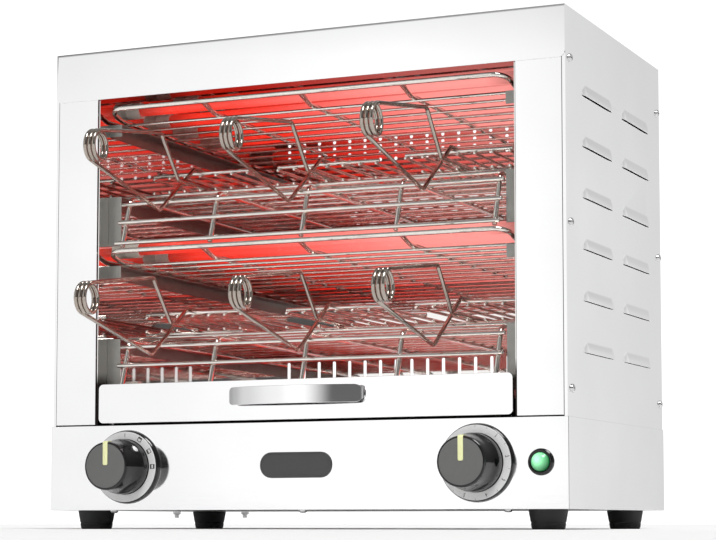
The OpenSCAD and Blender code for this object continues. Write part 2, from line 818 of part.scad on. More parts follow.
// A bowed strip with two flat riveted ends
module tray_handle() {
    leg_x = handle_w / 2 - handle_tab;
    bow_x = leg_x - handle_bend;
    bow_y = handle_bend - handle_out;
    part(steel) translate([0, 0, tray_z + tray_front_h / 2 + handle_rise - handle_h / 2]) {
        linear_extrude(handle_h) {
            translate([-bow_x, -handle_out]) square([2 * bow_x, handle_t]);
            for (side = [0, 1]) mirror([side, 0]) {
                intersection() {
                    translate([bow_x, bow_y]) difference() {
                        circle(r = handle_bend);
                        circle(r = handle_bend - handle_t);
                    }
                    translate([bow_x, -handle_out]) square(handle_bend);
                }
                translate([leg_x - handle_t, bow_y]) square([handle_t, -bow_y]);
                translate([leg_x - handle_t, -handle_t]) square([handle_tab + handle_t, handle_t]);
            }
        }
        for (x = [-1, 1])
            rod_y(-handle_t - rivet_h, -handle_t / 2, x * (leg_x + handle_tab / 2), handle_h / 2, rivet_d);
    }
}

// Controls

module scale_ring(x) {
    on_panel(x) difference() {
        union() {
            cylinder(d = bezel_d, h = bezel_t);
            cylinder(d = scale_d, h = bezel_t + scale_t);
        }
        translate([0, 0, -1]) cylinder(d = shaft_d + 2 * panel_gap, h = bezel_t + 2);
    }
}

module selector_ring() {
    part(black) scale_ring(-knob_x);
}

module timer_ring() {
    part(black) scale_ring(knob_x);
}

// Outline of a knob, swollen by s
module knob_outline(s) {
    rotate_extrude() polygon([[0, knob_foot], [knob_d / 2 + s, knob_foot],
        [knob_d / 2 + s, knob_foot + knob_full], [knob_face_d / 2 + s, knob_foot + knob_h - knob_edge],
        [knob_face_d / 2 - knob_edge + s, knob_foot + knob_h + s], [0, knob_foot + knob_h + s]]);
}

module knob(x) {
    on_panel(x) {
        knob_outline(0);
        intersection() {
            knob_outline(pointer_t);
            box([-pointer_w / 2, 0, knob_foot + knob_h / 2], [pointer_w / 2, knob_d, 2 * knob_h]);
        }
        translate([0, 0, -sheet - shaft_reach])
            cylinder(d = shaft_d, h = sheet + shaft_reach + knob_foot + 1);
    }
}

module selector_knob() {
    part(charcoal) knob(-knob_x);
}

module timer_knob() {
    part(charcoal) knob(knob_x);
}

// A switch behind the panel: a bushing against the panel and a case, bored for the shaft
module switch(x, w, d) {
    part(black) on_panel(x) difference() {
        union() {
            translate([0, 0, -sheet - bushing_l]) cylinder(d = bushing_d, h = bushing_l);
            box([-w / 2, -w / 2, -sheet - bushing_l - d], [w / 2, w / 2, -sheet - bushing_l]);
        }
        translate([0, 0, -sheet - shaft_reach - 1])
            cylinder(d = shaft_d + 2 * shaft_gap, h = shaft_reach + 2);
    }
}

module selector_switch() {
    switch(-knob_x, switch_w, switch_d);
}

module timer_body() {
    switch(knob_x, timer_w, timer_d);
}

module lamp_bezel() {
    part(black) on_panel(lamp_x) difference() {
        union() {
            cylinder(d1 = lamp_d, d2 = lamp_d - lamp_rim, h = lamp_rim);
            translate([0, 0, -lamp_stem]) cylinder(d = lamp_stem_d, h = lamp_stem);
        }
        translate([0, 0, lens_base]) cylinder(d = lens_d + 2 * lens_gap, h = lamp_rim);
    }
}

module lamp_lens() {
    dome_r = (lens_d * lens_d / 4 + lens_cap * lens_cap) / (2 * lens_cap);
    part(green) on_panel(lamp_x) intersection() {
        translate([0, 0, lens_base]) cylinder(d = lens_d, h = lamp_rim + lens_cap);
        translate([0, 0, lamp_rim + lens_cap - dome_r]) sphere(r = dome_r);
    }
}

module badge_plate() {
    part(black) upright(-sheet - badge_t, badge_t) translate([0, control_h])
        polygon(round_rect(badge_w, badge_h, badge_h * 0.48));
}

// Supply, feet and screws

module terminal_block() {
    part(beige) translate([gland_x - terminal_w / 2, rear_stop - terminal_y, base_z + sheet])
        cube([terminal_w, terminal_d, terminal_h]);
}

module cable_gland() {
    part(black) translate([gland_x, body_d, base_z + gland_z]) rotate([-90, 0, 0]) difference() {
        union() {
            translate([0, 0, -sheet - gland_in]) cylinder(d = gland_d, h = sheet + gland_in + gland_nut);
            cylinder(d = gland_nut_d, h = gland_nut);
            translate([0, 0, gland_nut])
                cylinder(d1 = gland_nut_d - 2, d2 = gland_d, h = gland_out - gland_nut);
        }
        translate([0, 0, -2 * gland_in]) cylinder(d = gland_bore, h = 4 * gland_in);
    }
}

module feet() {
    part(black) foot_places() difference() {
        cylinder(d1 = foot_d, d2 = foot_top_d, h = foot_h);
        translate([0, 0, -1]) cylinder(d = head_d + 2 * shank_gap, h = foot_h / 2 + 1);
        cylinder(d = shank_d + 2 * shank_gap, h = 2 * foot_h);
    }
}

// A screw whose head rests on z = 0 with its shank below
module screw(length) {
    cylinder(d1 = head_d, d2 = head_d - head_h, h = head_h);
    translate([0, 0, -length]) cylinder(d = shank_d, h = length + 1);
}

module screws() {
    part(steel) {
        for (side = [0, 1]) mirror([side, 0, 0]) {
            side_screw_places() screw(screw_l);
            rear_low_places() screw(screw_l);
        }
        rear_top_places() screw(screw_l);
        foot_places() translate([0, 0, foot_h / 2]) mirror([0, 0, 1]) screw(foot_h / 2 + screw_l);
    }
}

// Tongs

module tong_place(i, shade) {
    drop = i > 2 ? deck_pitch : 0;
    part(shade) translate([tong_x[i], -tong_home - tong_pull[i], coil_z - drop]) children();
}

function coil_point(a) = [0, coil_r * cos(a), coil_r * sin(a)];

function coil_path() = [for (k = [0:coil_steps]) let (t = k / coil_steps)
    [coil_x * (1 - 2 * t), 0, 0] + coil_point(coil_start + coil_sweep * t)];

function leg_path() = let (bends = round_path([[coil_x, jaw_y + stem_l, stem_low],
    [coil_x, upper_foot_y, stem_low], [coil_x, upper_bend_y, upper_bend_z], coil_path()[0]], leg_bend))
    [for (k = [0:len(bends) - 2]) bends[k]];

// Where the coil turns into the lower leg, and the way it leaves
coil_leave = coil_point(coil_end) - [coil_x, 0, 0];
lever_bend = [-coil_x, lower_bend_y, -lower_bend_z];
lever_way = unit(lever_bend - coil_leave);
coil_points = coil_path();
coil_self_gap = min([for (i = [0:coil_steps]) for (j = [i + coil_rings - 3:1:coil_steps])
    norm(coil_points[i] - coil_points[j])]) - spring_wire;
echo(coil_self_gap = coil_self_gap);

module tong_spring(i) {
    tong_place(i, chrome)
        wire(concat(leg_path(), coil_points, [coil_leave + coil_tail * lever_way]), spring_wire, [1, 0, 0]);
}

module tong_lever(i) {
    tong_place(i, chrome) wire(round_path([coil_leave + (coil_tail + lever_gap) * lever_way, lever_bend,
        [-coil_x, jaw_y - lever_foot, stem_high], [-coil_x, jaw_y + stem_l, stem_high]], leg_bend),
        spring_wire, [1, 0, 0]);
}

// A jaw whose wires lie on the side s of its bars
module jaw(i, z, s) {
    wire_x = (jaw_wires - 1) * jaw_pitch / 2;
    tong_place(i, chrome) translate([0, jaw_y, z - coil_z]) {
        for (y = [0, jaw_mid, jaw_d])
            rod_x(jaw_w / 2, y, 0, jaw_bar);
        for (k = [0:jaw_wires - 1])
            rod_y(-jaw_over, jaw_d + jaw_over, k * jaw_pitch - wire_x, s * wire_step, jaw_wire);
    }
}

module tong_1_spring() {
    tong_spring(0);
}

module tong_1_jaw() {
    jaw(0, jaw_low, 1);
}

module tong_1_lever() {
    tong_lever(0);
}

module tong_1_clamp() {
    jaw(0, jaw_high, -1);
}

module tong_2_spring() {
    tong_spring(1);
}

module tong_2_jaw() {
    jaw(1, jaw_low, 1);
}

module tong_2_lever() {
    tong_lever(1);
}

module tong_2_clamp() {
    jaw(1, jaw_high, -1);
}

module tong_3_spring() {
    tong_spring(2);
}

module tong_3_jaw() {
    jaw(2, jaw_low, 1);
}

module tong_3_lever() {
    tong_lever(2);
}

module tong_3_clamp() {
    jaw(2, jaw_high, -1);
}

module tong_4_spring() {
    tong_spring(3);
}

module tong_4_jaw() {
    jaw(3, jaw_low, 1);
}

module tong_4_lever() {
    tong_lever(3);
}

module tong_4_clamp() {
    jaw(3, jaw_high, -1);
}

module tong_5_spring() {
    tong_spring(4);
}

module tong_5_jaw() {
    jaw(4, jaw_low, 1);
}

module tong_5_lever() {
    tong_lever(4);
}

module tong_5_clamp() {
    jaw(4, jaw_high, -1);
}

module tong_6_spring() {
    tong_spring(5);
}

module tong_6_jaw() {
    jaw(5, jaw_low, 1);
}

module tong_6_lever() {
    tong_lever(5);
}

module tong_6_clamp() {
    jaw(5, jaw_high, -1);
}

top_cover();
left_side_panel();
right_side_panel();
left_front_column();
right_front_column();
base_shell();
base_floor();
base_top();
rear_panel();
left_liner();
right_liner();
ceiling_reflector();
top_guard();
middle_guard();
upper_rack();
lower_rack();
support_rails();
quartz_tubes();
heating_cores();
tube_caps();
crumb_pan();
tray_front();
tray_handle();
selector_ring();
selector_knob();
selector_switch();
timer_ring();
timer_knob();
timer_body();
lamp_bezel();
lamp_lens();
badge_plate();
terminal_block();
cable_gland();
feet();
screws();
tong_1_spring();
tong_1_jaw();
tong_1_lever();
tong_1_clamp();
tong_2_spring();
tong_2_jaw();
tong_2_lever();
tong_2_clamp();
tong_3_spring();
tong_3_jaw();
tong_3_lever();
tong_3_clamp();
tong_4_spring();
tong_4_jaw();
tong_4_lever();
tong_4_clamp();
tong_5_spring();
tong_5_jaw();
tong_5_lever();
tong_5_clamp();
tong_6_spring();
tong_6_jaw();
tong_6_lever();
tong_6_clamp();
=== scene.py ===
import bpy
import math
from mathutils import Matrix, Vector


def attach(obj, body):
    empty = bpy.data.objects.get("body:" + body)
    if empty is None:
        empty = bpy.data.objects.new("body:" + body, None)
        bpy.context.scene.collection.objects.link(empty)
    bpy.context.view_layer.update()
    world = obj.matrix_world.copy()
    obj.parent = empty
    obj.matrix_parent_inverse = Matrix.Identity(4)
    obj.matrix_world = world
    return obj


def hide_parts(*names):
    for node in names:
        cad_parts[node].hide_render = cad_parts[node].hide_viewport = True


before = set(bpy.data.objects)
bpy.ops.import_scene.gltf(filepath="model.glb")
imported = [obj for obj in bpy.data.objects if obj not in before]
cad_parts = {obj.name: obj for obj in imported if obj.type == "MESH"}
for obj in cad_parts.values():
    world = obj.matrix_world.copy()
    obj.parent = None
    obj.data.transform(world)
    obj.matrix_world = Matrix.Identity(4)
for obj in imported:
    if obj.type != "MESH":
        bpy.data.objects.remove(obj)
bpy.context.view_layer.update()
print("frame loaded:", len(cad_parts), "nodes")

mm = 0.001
frontToFrame = -64.6  # the columns' front face in the frame, mm
deckPitch = 117.0  # from the upper to the lower deck, mm
weld = {"wire": 0.01, "sheet": 0.005, "turned": 0.002}  # points closer than this are merged, mm
edgeSteps = 2  # facets of a rounded edge


def spot(x, y, z):  # housing millimetres to frame metres
    return Vector((x, y + frontToFrame, z)) * mm


def clearSelection():
    if bpy.context.object and bpy.context.object.mode != "OBJECT":
        bpy.ops.object.mode_set(mode="OBJECT")
    bpy.ops.object.select_all(action="DESELECT")


def pick(piece):
    clearSelection()
    piece.select_set(True)
    bpy.context.view_layer.objects.active = piece


def addModifier(piece, kind, **settings):  # adds one modifier and applies it
    pick(piece)
    modifier = piece.modifiers.new(kind.lower(), kind)
    for key, value in settings.items():
        setattr(modifier, key, value)
    bpy.ops.object.modifier_apply(modifier=modifier.name)


def roundEdges(piece, width, angle):  # rounds the edges that are sharper than the angle
    addModifier(piece, "BEVEL", width=width * mm, segments=edgeSteps, limit_method="ANGLE",
                angle_limit=math.radians(angle), use_clamp_overlap=False)


def settle(piece, name, material, body, slot, *nodes, angle=35):
    pick(piece)
    bpy.ops.object.transform_apply(location=True, rotation=True, scale=True)
    bpy.ops.object.shade_smooth_by_angle(angle=math.radians(angle))
    piece.name = name
    piece.data.name = name
    piece.data.materials.clear()
    piece.data.materials.append(material)
    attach(piece, body)
    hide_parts(*nodes)


# camera: the long lens and low stand of the photograph, focus in pixels of its width
camera = {"place": (703.6, -1470.4, 5.0), "yaw": 23.901, "pitch": 4.53, "focus": 2106.5, "shift": 0.12,
          "imageWidth": 716.0, "sensorWidth": 36.0, "farClip": 50.0}
bpy.ops.object.camera_add(location=spot(*camera["place"]),
                          rotation=(math.radians(90 + camera["pitch"]), 0, math.radians(camera["yaw"])))
viewer = bpy.context.object
viewer.name = "photoCamera"
viewer.data.sensor_width = camera["sensorWidth"]
viewer.data.lens = camera["focus"] / camera["imageWidth"] * camera["sensorWidth"]
viewer.data.shift_y = camera["shift"]
viewer.data.clip_end = camera["farClip"]
bpy.context.scene.camera = viewer
bpy.context.scene.view_settings.view_transform = "Standard"
print("camera set")


# materials
noiseSpan = (0.3, 0.7)  # where most values of a noise lie
mixFirst, mixSecond, mixResult = 6, 7, 2  # the mix node's colour sockets


def hexColour(text):  # sRGB hex to linear
    parts = [int(text[i:i + 2], 16) / 255 for i in (1, 3, 5)]
    return tuple(p / 12.92 if p <= 0.04045 else ((p + 0.055) / 1.055) ** 2.4 for p in parts) + (1.0,)


def addNode(tree, kind, inputs=None, **settings):
    node = tree.nodes.new(kind)
    for key, value in settings.items():
        setattr(node, key, value)
    for key, value in (inputs or {}).items():
        if isinstance(value, tuple) and isinstance(value[0], bpy.types.Node):
            tree.links.new(value[0].outputs[value[1]], node.inputs[key])
        else:
            node.inputs[key].default_value = value
    return node


def newMaterial(name):
    material = bpy.data.materials.new(name)
    material.use_nodes = True
    material.node_tree.nodes.clear()
    return material, material.node_tree


def closeMaterial(tree, inputs):
    shader = addNode(tree, "ShaderNodeBsdfPrincipled", inputs)
    addNode(tree, "ShaderNodeOutputMaterial", {"Surface": (shader, "BSDF")})


def blend(tree, share, first, second):  # the first colour at 0, the second at 1
    return addNode(tree, "ShaderNodeMix", {"Factor": share, mixFirst: first, mixSecond: second}, data_type="RGBA")


def surfaceGrain(tree, size, detail, *ranges):  # grains of size mm along X, Y and Z, and their working ranges
    place = addNode(tree, "ShaderNodeTexCoord")
    fitted = addNode(tree, "ShaderNodeMapping", {"Vector": (place, "Object"),
                                                  "Scale": tuple(1 / (s * mm) for s in size)})
    noise = addNode(tree, "ShaderNodeTexNoise", {"Vector": (fitted, "Vector"), "Scale": 1.0, "Detail": detail})
    spans = [addNode(tree, "ShaderNodeMapRange", {"Value": (noise, "Fac"), "From Min": noiseSpan[0],
                                                  "From Max": noiseSpan[1], "To Min": low, "To Max": high})
             for low, high in ranges]
    return noise, *spans


sheetSkin = {"lineDetail": 3.0, "lineDepth": 0.02, "cloud": 90.0, "cloudDetail": 2.0, "cloudDepth": 0.6}


def sheetMetal(name, colours, roughness, grain, bump, wave, paintedShade=None):  # paintedShade: axis, from and to in mm, and the colour painted as shade below the from value
    material, tree = newMaterial(name)
    lines, rough = surfaceGrain(tree, grain, sheetSkin["lineDetail"], roughness)
    cloud, share = surfaceGrain(tree, (sheetSkin["cloud"],) * 3, sheetSkin["cloudDetail"], (0, 1))
    shade = blend(tree, (share, "Result"), hexColour(colours[0]), hexColour(colours[1]))
    # painted shade: below the from value along the axis the sheet turns to a dark colour
    if paintedShade:
        place = addNode(tree, "ShaderNodeTexCoord")
        axes = addNode(tree, "ShaderNodeSeparateXYZ", {"Vector": (place, "Object")})
        axis, start, end, shadeColour = paintedShade
        share = addNode(tree, "ShaderNodeMapRange", {"Value": (axes, axis), "From Min": start * mm,
                                                     "From Max": end * mm})
        shade = blend(tree, (share, "Result"), hexColour(shadeColour), (shade, mixResult))
    fine = addNode(tree, "ShaderNodeBump", {"Strength": bump, "Distance": sheetSkin["lineDepth"] * mm,
                                            "Height": (lines, "Fac")})
    slow = addNode(tree, "ShaderNodeBump", {"Strength": wave, "Distance": sheetSkin["cloudDepth"] * mm,
                                            "Height": (cloud, "Fac"), "Normal": (fine, "Normal")})
    closeMaterial(tree, {"Base Color": (shade, mixResult), "Metallic": 1.0, "Roughness": (rough, "Result"),
                         "Normal": (slow, "Normal")})
    return material


# bright stainless sheet: pale, nearly a mirror, with faint rolling lines along it
brightSteel = sheetMetal("brightStainlessSheet", ("#EDEDEE", "#F2F2F2"), (0.05, 0.09), (60, 60, 0.9), 0.06, 0.05)
# polished stainless walls: the tubes' light is thrown about in soft, slightly wavy reflections
polish = (("#D9D6D4", "#E2E0DE"), (0.015, 0.04), (40, 1.2, 1.2), 0.02, 0.06)
polishedSteel = sheetMetal("polishedStainlessSheet", *polish)
# the same sheet with painted shade: liners painted near black below the lowest tubes, ceiling painted dark red along
# its front
paintedShadeLiner = sheetMetal("linerWithPaintedShade", *polish, ("Z", 117, 127, "#2E2A28"))
paintedShadeCeiling = sheetMetal("ceilingWithPaintedShade", *polish, ("Y", 6, 22, "#7A4442"))
# stainless floor of the base as it left the mill: grey, unpolished
millSteel = sheetMetal("millFinishSheet", ("#D2D2D0", "#DCDCDA"), (0.2, 0.28), (6, 6, 6), 0.1, 0.1)
# zinc-plated sheet of the rails: dull mid grey with a cloudy bloom
zincSheet = sheetMetal("zincPlatedSheet", ("#A09F9A", "#ACABA6"), (0.42, 0.55), (6, 6, 6), 0.2, 0.1)


wireSkin = {"grain": 1.6, "detail": 2.0, "bump": 0.08, "depth": 0.03}


def drawnWire(name, colours, roughness):
    material, tree = newMaterial(name)
    lines, rough, share = surfaceGrain(tree, (wireSkin["grain"],) * 3, wireSkin["detail"], roughness, (0, 1))
    shade = blend(tree, (share, "Result"), hexColour(colours[0]), hexColour(colours[1]))
    fine = addNode(tree, "ShaderNodeBump", {"Strength": wireSkin["bump"], "Distance": wireSkin["depth"] * mm,
                                            "Height": (lines, "Fac")})
    closeMaterial(tree, {"Base Color": (shade, mixResult), "Metallic": 1.0, "Roughness": (rough, "Result"),
                         "Normal": (fine, "Normal")})
    return material


# drawn stainless wire: bright, a little greyer than the sheet, long highlights along each rod
brightWire = drawnWire("drawnStainlessWire", ("#E4DFD8", "#F0ECE6"), (0.07, 0.13))
# patented spring wire of the tongs: darker and browner than the racks
springWire = drawnWire("patentedSpringWire", ("#A89E94", "#BAB1A8"), (0.06, 0.12))
# turned stainless of screws and rivets: bright heads with soft rings
screwSteel = drawnWire("turnedStainless", ("#CFCFD0", "#E2E2E3"), (0.14, 0.24))


mouldSkin = {"detail": 4.0, "depth": 0.03, "ior": 1.53}


def plastic(name, colours, roughness, grain, bump):
    material, tree = newMaterial(name)
    skin, rough, share = surfaceGrain(tree, (grain,) * 3, mouldSkin["detail"], roughness, (0, 1))
    shade = blend(tree, (share, "Result"), hexColour(colours[0]), hexColour(colours[1]))
    fine = addNode(tree, "ShaderNodeBump", {"Strength": bump, "Distance": mouldSkin["depth"] * mm,
                                            "Height": (skin, "Fac")})
    closeMaterial(tree, {"Base Color": (shade, mixResult), "IOR": mouldSkin["ior"], "Roughness": (rough, "Result"),
                         "Normal": (fine, "Normal")})
    return material


# moulded ABS, high gloss: nearly black with sharp highlights
glossBlack = plastic("glossBlackAbs", ("#060607", "#0A0A0B"), (0.07, 0.13), 2.0, 0.03)
# spark-eroded ABS: an even charcoal grey that scatters the light
mattCharcoal = plastic("grainedCharcoalAbs", ("#636362", "#6B6B6A"), (0.5, 0.65), 0.7, 0.25)
# printed enamel plate: charcoal with a fine sparkle
plateCharcoal = plastic("charcoalPlate", ("#3B3B3C", "#464647"), (0.35, 0.5), 0.8, 0.2)
# moulded nitrile rubber: dull black
mattRubber = plastic("blackRubber", ("#1D1D1D", "#252525"), (0.6, 0.75), 1.2, 0.3)
# unglazed steatite: chalky off-white
chalkCeramic = plastic("unglazedCeramic", ("#DDD8CC", "#EAE6DC"), (0.6, 0.8), 1.5, 0.3)
# moulded polyamide: off-white, half matt
palePolyamide = plastic("palePolyamide", ("#D6D0BC", "#DED9C8"), (0.4, 0.55), 2.0, 0.15)
# afterglow paint in the pointer's groove: pale yellow-green
pointerPaint = plastic("paleGreenPaint", ("#F0F3B0", "#F7F9C6"), (0.4, 0.55), 1.5, 0.15)
# silver lacquer of the dials: pale grey, half matt, with a fine grain
silverLacquer = plastic("silverLacquer", ("#E6E6E6", "#EFEFEF"), (0.35, 0.45), 0.8, 0.05)
# printing ink of the dials: dark grey, matt
dialInk = plastic("greyInk", ("#3A3A3A", "#464646"), (0.5, 0.6), 1.0, 0.1)


tubeGlow = {"paintedHighlightStart": -120.0, "paintedHighlightFull": 110.0, "glass": "#8A4A40", "ior": 1.46, "grain": (14, 4, 4), "detail": 2.0,
            "roughness": (0.15, 0.3)}


def glowingTube(name, colours, strengths, reach):  # lit from inside and dull at its ends, with a painted highlight: paler and brighter towards the right
    material, tree = newMaterial(name)
    place = addNode(tree, "ShaderNodeTexCoord")
    axes = addNode(tree, "ShaderNodeSeparateXYZ", {"Vector": (place, "Object")})
    # painted highlight: colour and glow strength climb along X towards the right
    share = addNode(tree, "ShaderNodeMapRange", {"Value": (axes, "X"), "From Min": tubeGlow["paintedHighlightStart"] * mm,
                                                 "From Max": tubeGlow["paintedHighlightFull"] * mm}, interpolation_type="SMOOTHSTEP")
    glowWithHighlight = addNode(tree, "ShaderNodeMapRange", {"Value": (share, "Result"), "To Min": strengths[0],
                                                "To Max": strengths[1]})
    shade = blend(tree, (share, "Result"), hexColour(colours[0]), hexColour(colours[1]))
    away = addNode(tree, "ShaderNodeMath", {0: (axes, "X")}, operation="ABSOLUTE")
    fade = addNode(tree, "ShaderNodeMapRange", {"Value": (away, "Value"), "From Min": reach[0] * mm,
                                                "From Max": reach[1] * mm, "To Min": 1.0, "To Max": 0.0})
    glow = addNode(tree, "ShaderNodeMath", {0: (glowWithHighlight, "Result"), 1: (fade, "Result")}, operation="MULTIPLY")
    _, rough = surfaceGrain(tree, tubeGlow["grain"], tubeGlow["detail"], tubeGlow["roughness"])
    closeMaterial(tree, {"Base Color": hexColour(tubeGlow["glass"]), "IOR": tubeGlow["ior"],
                         "Roughness": (rough, "Result"), "Emission Color": (shade, mixResult),
                         "Emission Strength": (glow, "Value")})
    return material


# quartz glass round a glowing wire: deep red on the left, with a painted highlight that turns it nearly pink towards
# the right
quartzGlow = glowingTube("glowingQuartz", ("#FF2E1E", "#FF9C96"), (0.85, 0.95), (140, 182))
# resistance wire glowing red: bright orange threads inside the tubes, with a painted highlight that makes them paler
# and brighter towards the right
wireGlow = glowingTube("glowingWire", ("#FF5A2A", "#FFA070"), (1.5, 2.5), (150, 192))


signal = {"middle": (198.0, -5.0, 51.2), "radius": 8.5, "core": 0.3, "bright": "#9CF5B8", "rim": "#1C7A40",
          "glow": (0.95, 0.1), "ior": 1.49, "roughness": 0.12, "coat": 0.5}


def signalLens(name):  # bright in the middle, bottle green towards the rim
    material, tree = newMaterial(name)
    place = addNode(tree, "ShaderNodeTexCoord")
    near = addNode(tree, "ShaderNodeMapping", {"Vector": (place, "Object"),
                                                "Location": tuple(spot(*signal["middle"]))}, vector_type="TEXTURE")
    far = addNode(tree, "ShaderNodeVectorMath", {0: (near, "Vector")}, operation="LENGTH")
    radius = signal["radius"] * mm
    share = addNode(tree, "ShaderNodeMapRange", {"Value": (far, "Value"), "From Min": signal["core"] * radius,
                                                 "From Max": radius})
    green = blend(tree, (share, "Result"), hexColour(signal["bright"]), hexColour(signal["rim"]))
    glow = addNode(tree, "ShaderNodeMapRange", {"Value": (share, "Result"), "To Min": signal["glow"][0],
                                                "To Max": signal["glow"][1]})
    closeMaterial(tree, {"Base Color": (green, mixResult), "IOR": signal["ior"], "Roughness": signal["roughness"],
                         "Coat Weight": signal["coat"], "Emission Color": (green, mixResult),
                         "Emission Strength": (glow, "Result")})
    return material


# acrylic lens over a small lamp: a pale green glow that darkens towards the rim
greenLens = signalLens("greenAcrylic")
print("materials made")


# wires
def bendPath(points, radius, steps=10):  # a polyline with rounded corners, mm
    points = [Vector(p) for p in points]
    path = [points[0]]
    for before, here, after in zip(points, points[1:], points[2:]):
        u, w = (before - here).normalized(), (after - here).normalized()
        half = math.acos(max(-1, min(1, u.dot(w)))) / 2
        centre = here + (u + w).normalized() * (radius / math.sin(half))
        start = here + u * (radius / math.tan(half)) - centre
        end = here + w * (radius / math.tan(half)) - centre
        turn = math.pi - 2 * half
        for i in range(steps + 1):
            t = i / steps
            path.append(centre + (start * math.sin((1 - t) * turn) + end * math.sin(t * turn)) / math.sin(turn))
    return path + [points[-1]]


wireEnd = {"radius": 0.3, "angle": 60}


def wirePiece(runs, sides=4):  # runs of (points in housing mm, diameter) as one mesh of round rods
    curve = bpy.data.curves.new("wire", "CURVE")
    curve.dimensions = "3D"
    curve.bevel_depth = mm
    curve.bevel_resolution = sides
    curve.use_fill_caps = True
    for points, diameter in runs:
        spline = curve.splines.new("POLY")
        spline.points.add(len(points) - 1)
        for knot, place in zip(spline.points, points):
            knot.co = (*spot(*place), 1)
            knot.radius = diameter / 2
    piece = bpy.data.objects.new("wire", curve)
    bpy.context.scene.collection.objects.link(piece)
    pick(piece)
    bpy.ops.object.convert(target="MESH")
    bpy.ops.object.mode_set(mode="EDIT")
    bpy.ops.mesh.select_all(action="SELECT")
    bpy.ops.mesh.remove_doubles(threshold=weld["wire"] * mm)
    bpy.ops.mesh.normals_make_consistent(inside=False)
    bpy.ops.object.mode_set(mode="OBJECT")
    roundEdges(piece, wireEnd["radius"], wireEnd["angle"])
    return piece


guard = {"height": 336.0, "side": 172.2, "front": 3.0, "lipDepth": 21.0, "lipRise": 6.0, "corner": 12.0,
         "back": 239.8, "middle": 86.1, "wire": 4.0, "bar": 2.5, "bars": 9, "firstBar": 30.0, "barPitch": 25.725,
         "barDrop": 2.95, "barOver": 2.0, "stubBack": 1.0}
for name, node, drop in (("topGuardWires", "top_guard", 0.0), ("middleGuardWires", "middle_guard", deckPitch)):
    z = guard["height"] - drop
    lip = guard["front"] + guard["lipDepth"]
    half = [(guard["side"], guard["back"], z), (guard["side"], lip, z),
            (guard["side"], guard["front"], z + guard["lipRise"])]
    loop = [(-x, y, h) for x, y, h in half] + half[::-1]
    runs = [(bendPath(loop, guard["corner"]), guard["wire"])]
    stub = guard["front"] + guard["stubBack"]
    for x in (-guard["middle"], 0, guard["middle"]):
        runs.append((bendPath([(x, guard["back"], z), (x, lip, z), (x, stub, z + guard["lipRise"])],
                              guard["corner"]), guard["wire"]))
    for i in range(guard["bars"]):
        y = guard["firstBar"] + i * guard["barPitch"]
        reach = guard["side"] + guard["barOver"]
        runs.append(([(-reach, y, z - guard["barDrop"]), (reach, y, z - guard["barDrop"])], guard["bar"]))
    settle(wirePiece(runs), name, brightWire, "housing", "chrome_wire", node, angle=50)
print("guards bent")

rack = {"height": 270.0, "cross": 80.5, "back": 244.84, "bend": 20.8, "bendRadius": 8.0, "lean": 0.33, "lip": 41.5,
        "wire": 4.0, "bar": 3.0, "bars": 10, "firstBar": 35.1, "pitch": 22.86, "barRise": 3.2, "barReach": 174.2,
        "lipBar": 3.5, "lipShares": (0.16, 0.53, 0.955), "lipReach": 166.0, "lipStep": 3.45}
for name, node, drop in (("upperRackWires", "upper_rack", 0.0), ("lowerRackWires", "lower_rack", deckPitch)):
    z = rack["height"] - drop
    runs = []
    for i in range(-2, 3):
        x = i * rack["cross"]
        runs.append((bendPath([(x, rack["back"], z), (x, rack["bend"], z),
                               (x, rack["bend"] - rack["lean"] * rack["lip"], z - rack["lip"])],
                              rack["bendRadius"]), rack["wire"]))
    for i in range(rack["bars"]):
        y = rack["firstBar"] + i * rack["pitch"]
        runs.append(([(-rack["barReach"], y, z + rack["barRise"]), (rack["barReach"], y, z + rack["barRise"])],
                     rack["bar"]))
    slope = Vector((-rack["lean"], -1)).normalized()
    for share in rack["lipShares"]:
        fall = share * rack["lip"]
        y = rack["bend"] - rack["lean"] * fall + rack["lipStep"] * slope[1]
        h = z - fall - rack["lipStep"] * slope[0]
        runs.append(([(-rack["lipReach"], y, h), (rack["lipReach"], y, h)], rack["lipBar"]))
    settle(wirePiece(runs), name, brightWire, "housing", "chrome_wire", node, angle=50)
print("racks bent")

tong = {"places": (-115.046, 0.0, 117.018, -115.046, 8.064, 120.96), "pulls": (0, 0, 11, 11, 0, 0), "home": 110.0,
        "height": 289.65, "wire": 3.2, "radius": 11.2, "turnPitch": 3.6, "upperBend": (90.5, 24.6),
        "upperFoot": 120.0, "lowerBend": (104.4, -35.1), "leverFoot": 163.0, "stemEnd": 188.0, "stemLow": -9.55,
        "stemHigh": 7.35, "bendRadius": 5.0, "turnSteps": 40, "split": 0.7, "jawFront": 168.0,
        "jawBars": (0, 79.6, 160), "jawHalf": 45.0, "jawLow": -13.0, "jawHigh": 3.9, "jawBar": 3.5, "jawWire": 2.5,
        "jawWires": 7, "jawPitch": 14.5, "jawOver": 4.0, "wireStep": 2.7, "perDeck": 3, "fullTurns": 3,
        "splitGap": 0.05, "sides": 6}


def leaveAngle(point, turn):  # angle where a straight leg to the point leaves the coil
    return math.atan2(point[1], point[0]) + turn * math.acos(tong["radius"] / math.hypot(*point))


